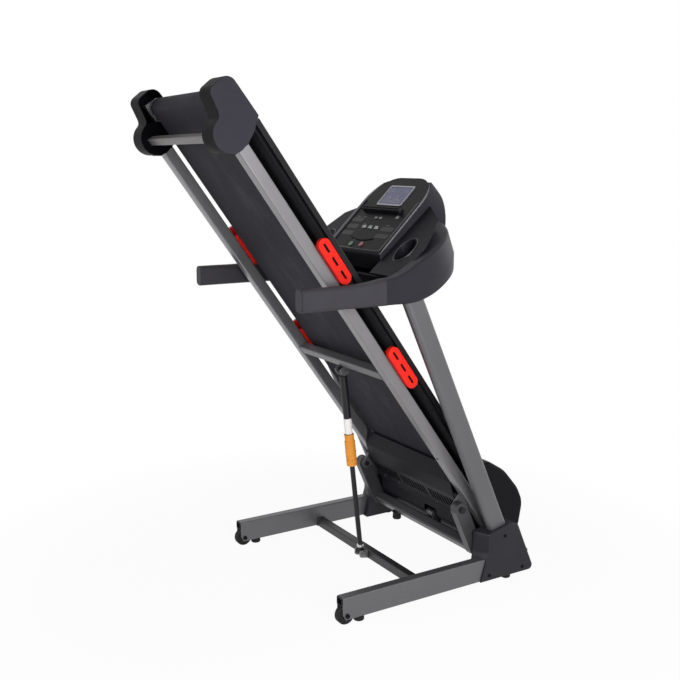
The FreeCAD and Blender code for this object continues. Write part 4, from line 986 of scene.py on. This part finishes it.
def paper_floor():
    """Pale paper that shades under the object, and glows white where it is seen."""
    f = Finish("pale_paper")
    grain = f.noise(700, 2)
    f.set(Base_Color=f.mix(grain, (0.90, 0.90, 0.90), (0.93, 0.93, 0.93)), Roughness=0.95)
    f.set(Specular_IOR_Level=0.1)
    glow = f.nodes.new("ShaderNodeEmission")
    glow.inputs["Color"].default_value = PURE_WHITE
    glow.inputs["Strength"].default_value = 1.0
    x, y = f.axes()[:2]
    reach = (x * x + y * y).ramp(GLOW_NEAR, GLOW_FAR)
    share = Val(f, seen_rays(f.nodes, f.links)) * (reach * 0.06 + 0.94)
    both = f.nodes.new("ShaderNodeMixShader")
    f.wire(both.inputs[0], share)
    f.links.new(f.shader.outputs[0], both.inputs[1])
    f.links.new(glow.outputs[0], both.inputs[2])
    f.links.new(both.outputs[0], f.end.inputs["Surface"])
    return f.material


def studio_floor():
    """Wide square floor."""
    r = FLOOR_HALF
    mesh = bpy.data.meshes.new("studio_floor")
    mesh.from_pydata([(-r, -r, 0), (r, -r, 0), (r, r, 0), (-r, r, 0)], [], [(0, 1, 2, 3)])
    floor = bpy.data.objects.new("studio_floor", mesh)
    bpy.context.scene.collection.objects.link(floor)
    mesh.materials.append(paper_floor())


def studio_world():
    """White where it is seen; a soft light, stronger from low down, on the object."""
    world = bpy.data.worlds.new("studio")
    bpy.context.scene.world = world
    world.use_nodes = True
    nodes = world.node_tree.nodes
    links = world.node_tree.links
    nodes.clear()
    place = nodes.new("ShaderNodeTexCoord")
    axes = nodes.new("ShaderNodeSeparateXYZ")
    ramp = nodes.new("ShaderNodeValToRGB")
    low, high = ramp.color_ramp.elements
    low.position = 0.0
    low.color = (0.78, 0.78, 0.80, 1)
    high.position = 0.75
    high.color = (0.22, 0.22, 0.23, 1)
    soft = nodes.new("ShaderNodeBackground")
    soft.inputs["Strength"].default_value = 0.40
    seen = nodes.new("ShaderNodeBackground")
    seen.inputs["Color"].default_value = PURE_WHITE
    seen.inputs["Strength"].default_value = 1.0
    both = nodes.new("ShaderNodeMixShader")
    end = nodes.new("ShaderNodeOutputWorld")
    links.new(place.outputs["Generated"], axes.inputs[0])
    links.new(axes.outputs[2], ramp.inputs[0])
    links.new(ramp.outputs[0], soft.inputs["Color"])
    links.new(seen_rays(nodes, links), both.inputs[0])
    links.new(soft.outputs[0], both.inputs[1])
    links.new(seen.outputs[0], both.inputs[2])
    links.new(both.outputs[0], end.inputs["Surface"])


def softbox(name, place, size, power):
    """Rectangular light, in watts, aimed at the middle of the object."""
    lamp = bpy.data.lights.new(name, "AREA")
    lamp.shape = "RECTANGLE"
    lamp.size, lamp.size_y = size
    lamp.energy = power
    obj = bpy.data.objects.new(name, lamp)
    bpy.context.scene.collection.objects.link(obj)
    obj.location = place
    obj.rotation_euler = (Vector(place) - Vector(MIDDLE)).to_track_quat("Z", "Y").to_euler()


studio_eye()
studio_floor()
studio_world()
softbox("key_softbox", (3.8, -0.6, 1.5), (1.8, 2.4), 135)
softbox("fill_softbox", (-0.6, -3.9, 1.2), (2.4, 2.4), 72)
softbox("back_softbox", (0.6, 3.6, 2.2), (2.6, 2.0), 30)
bpy.context.scene.view_settings.view_transform = "Standard"
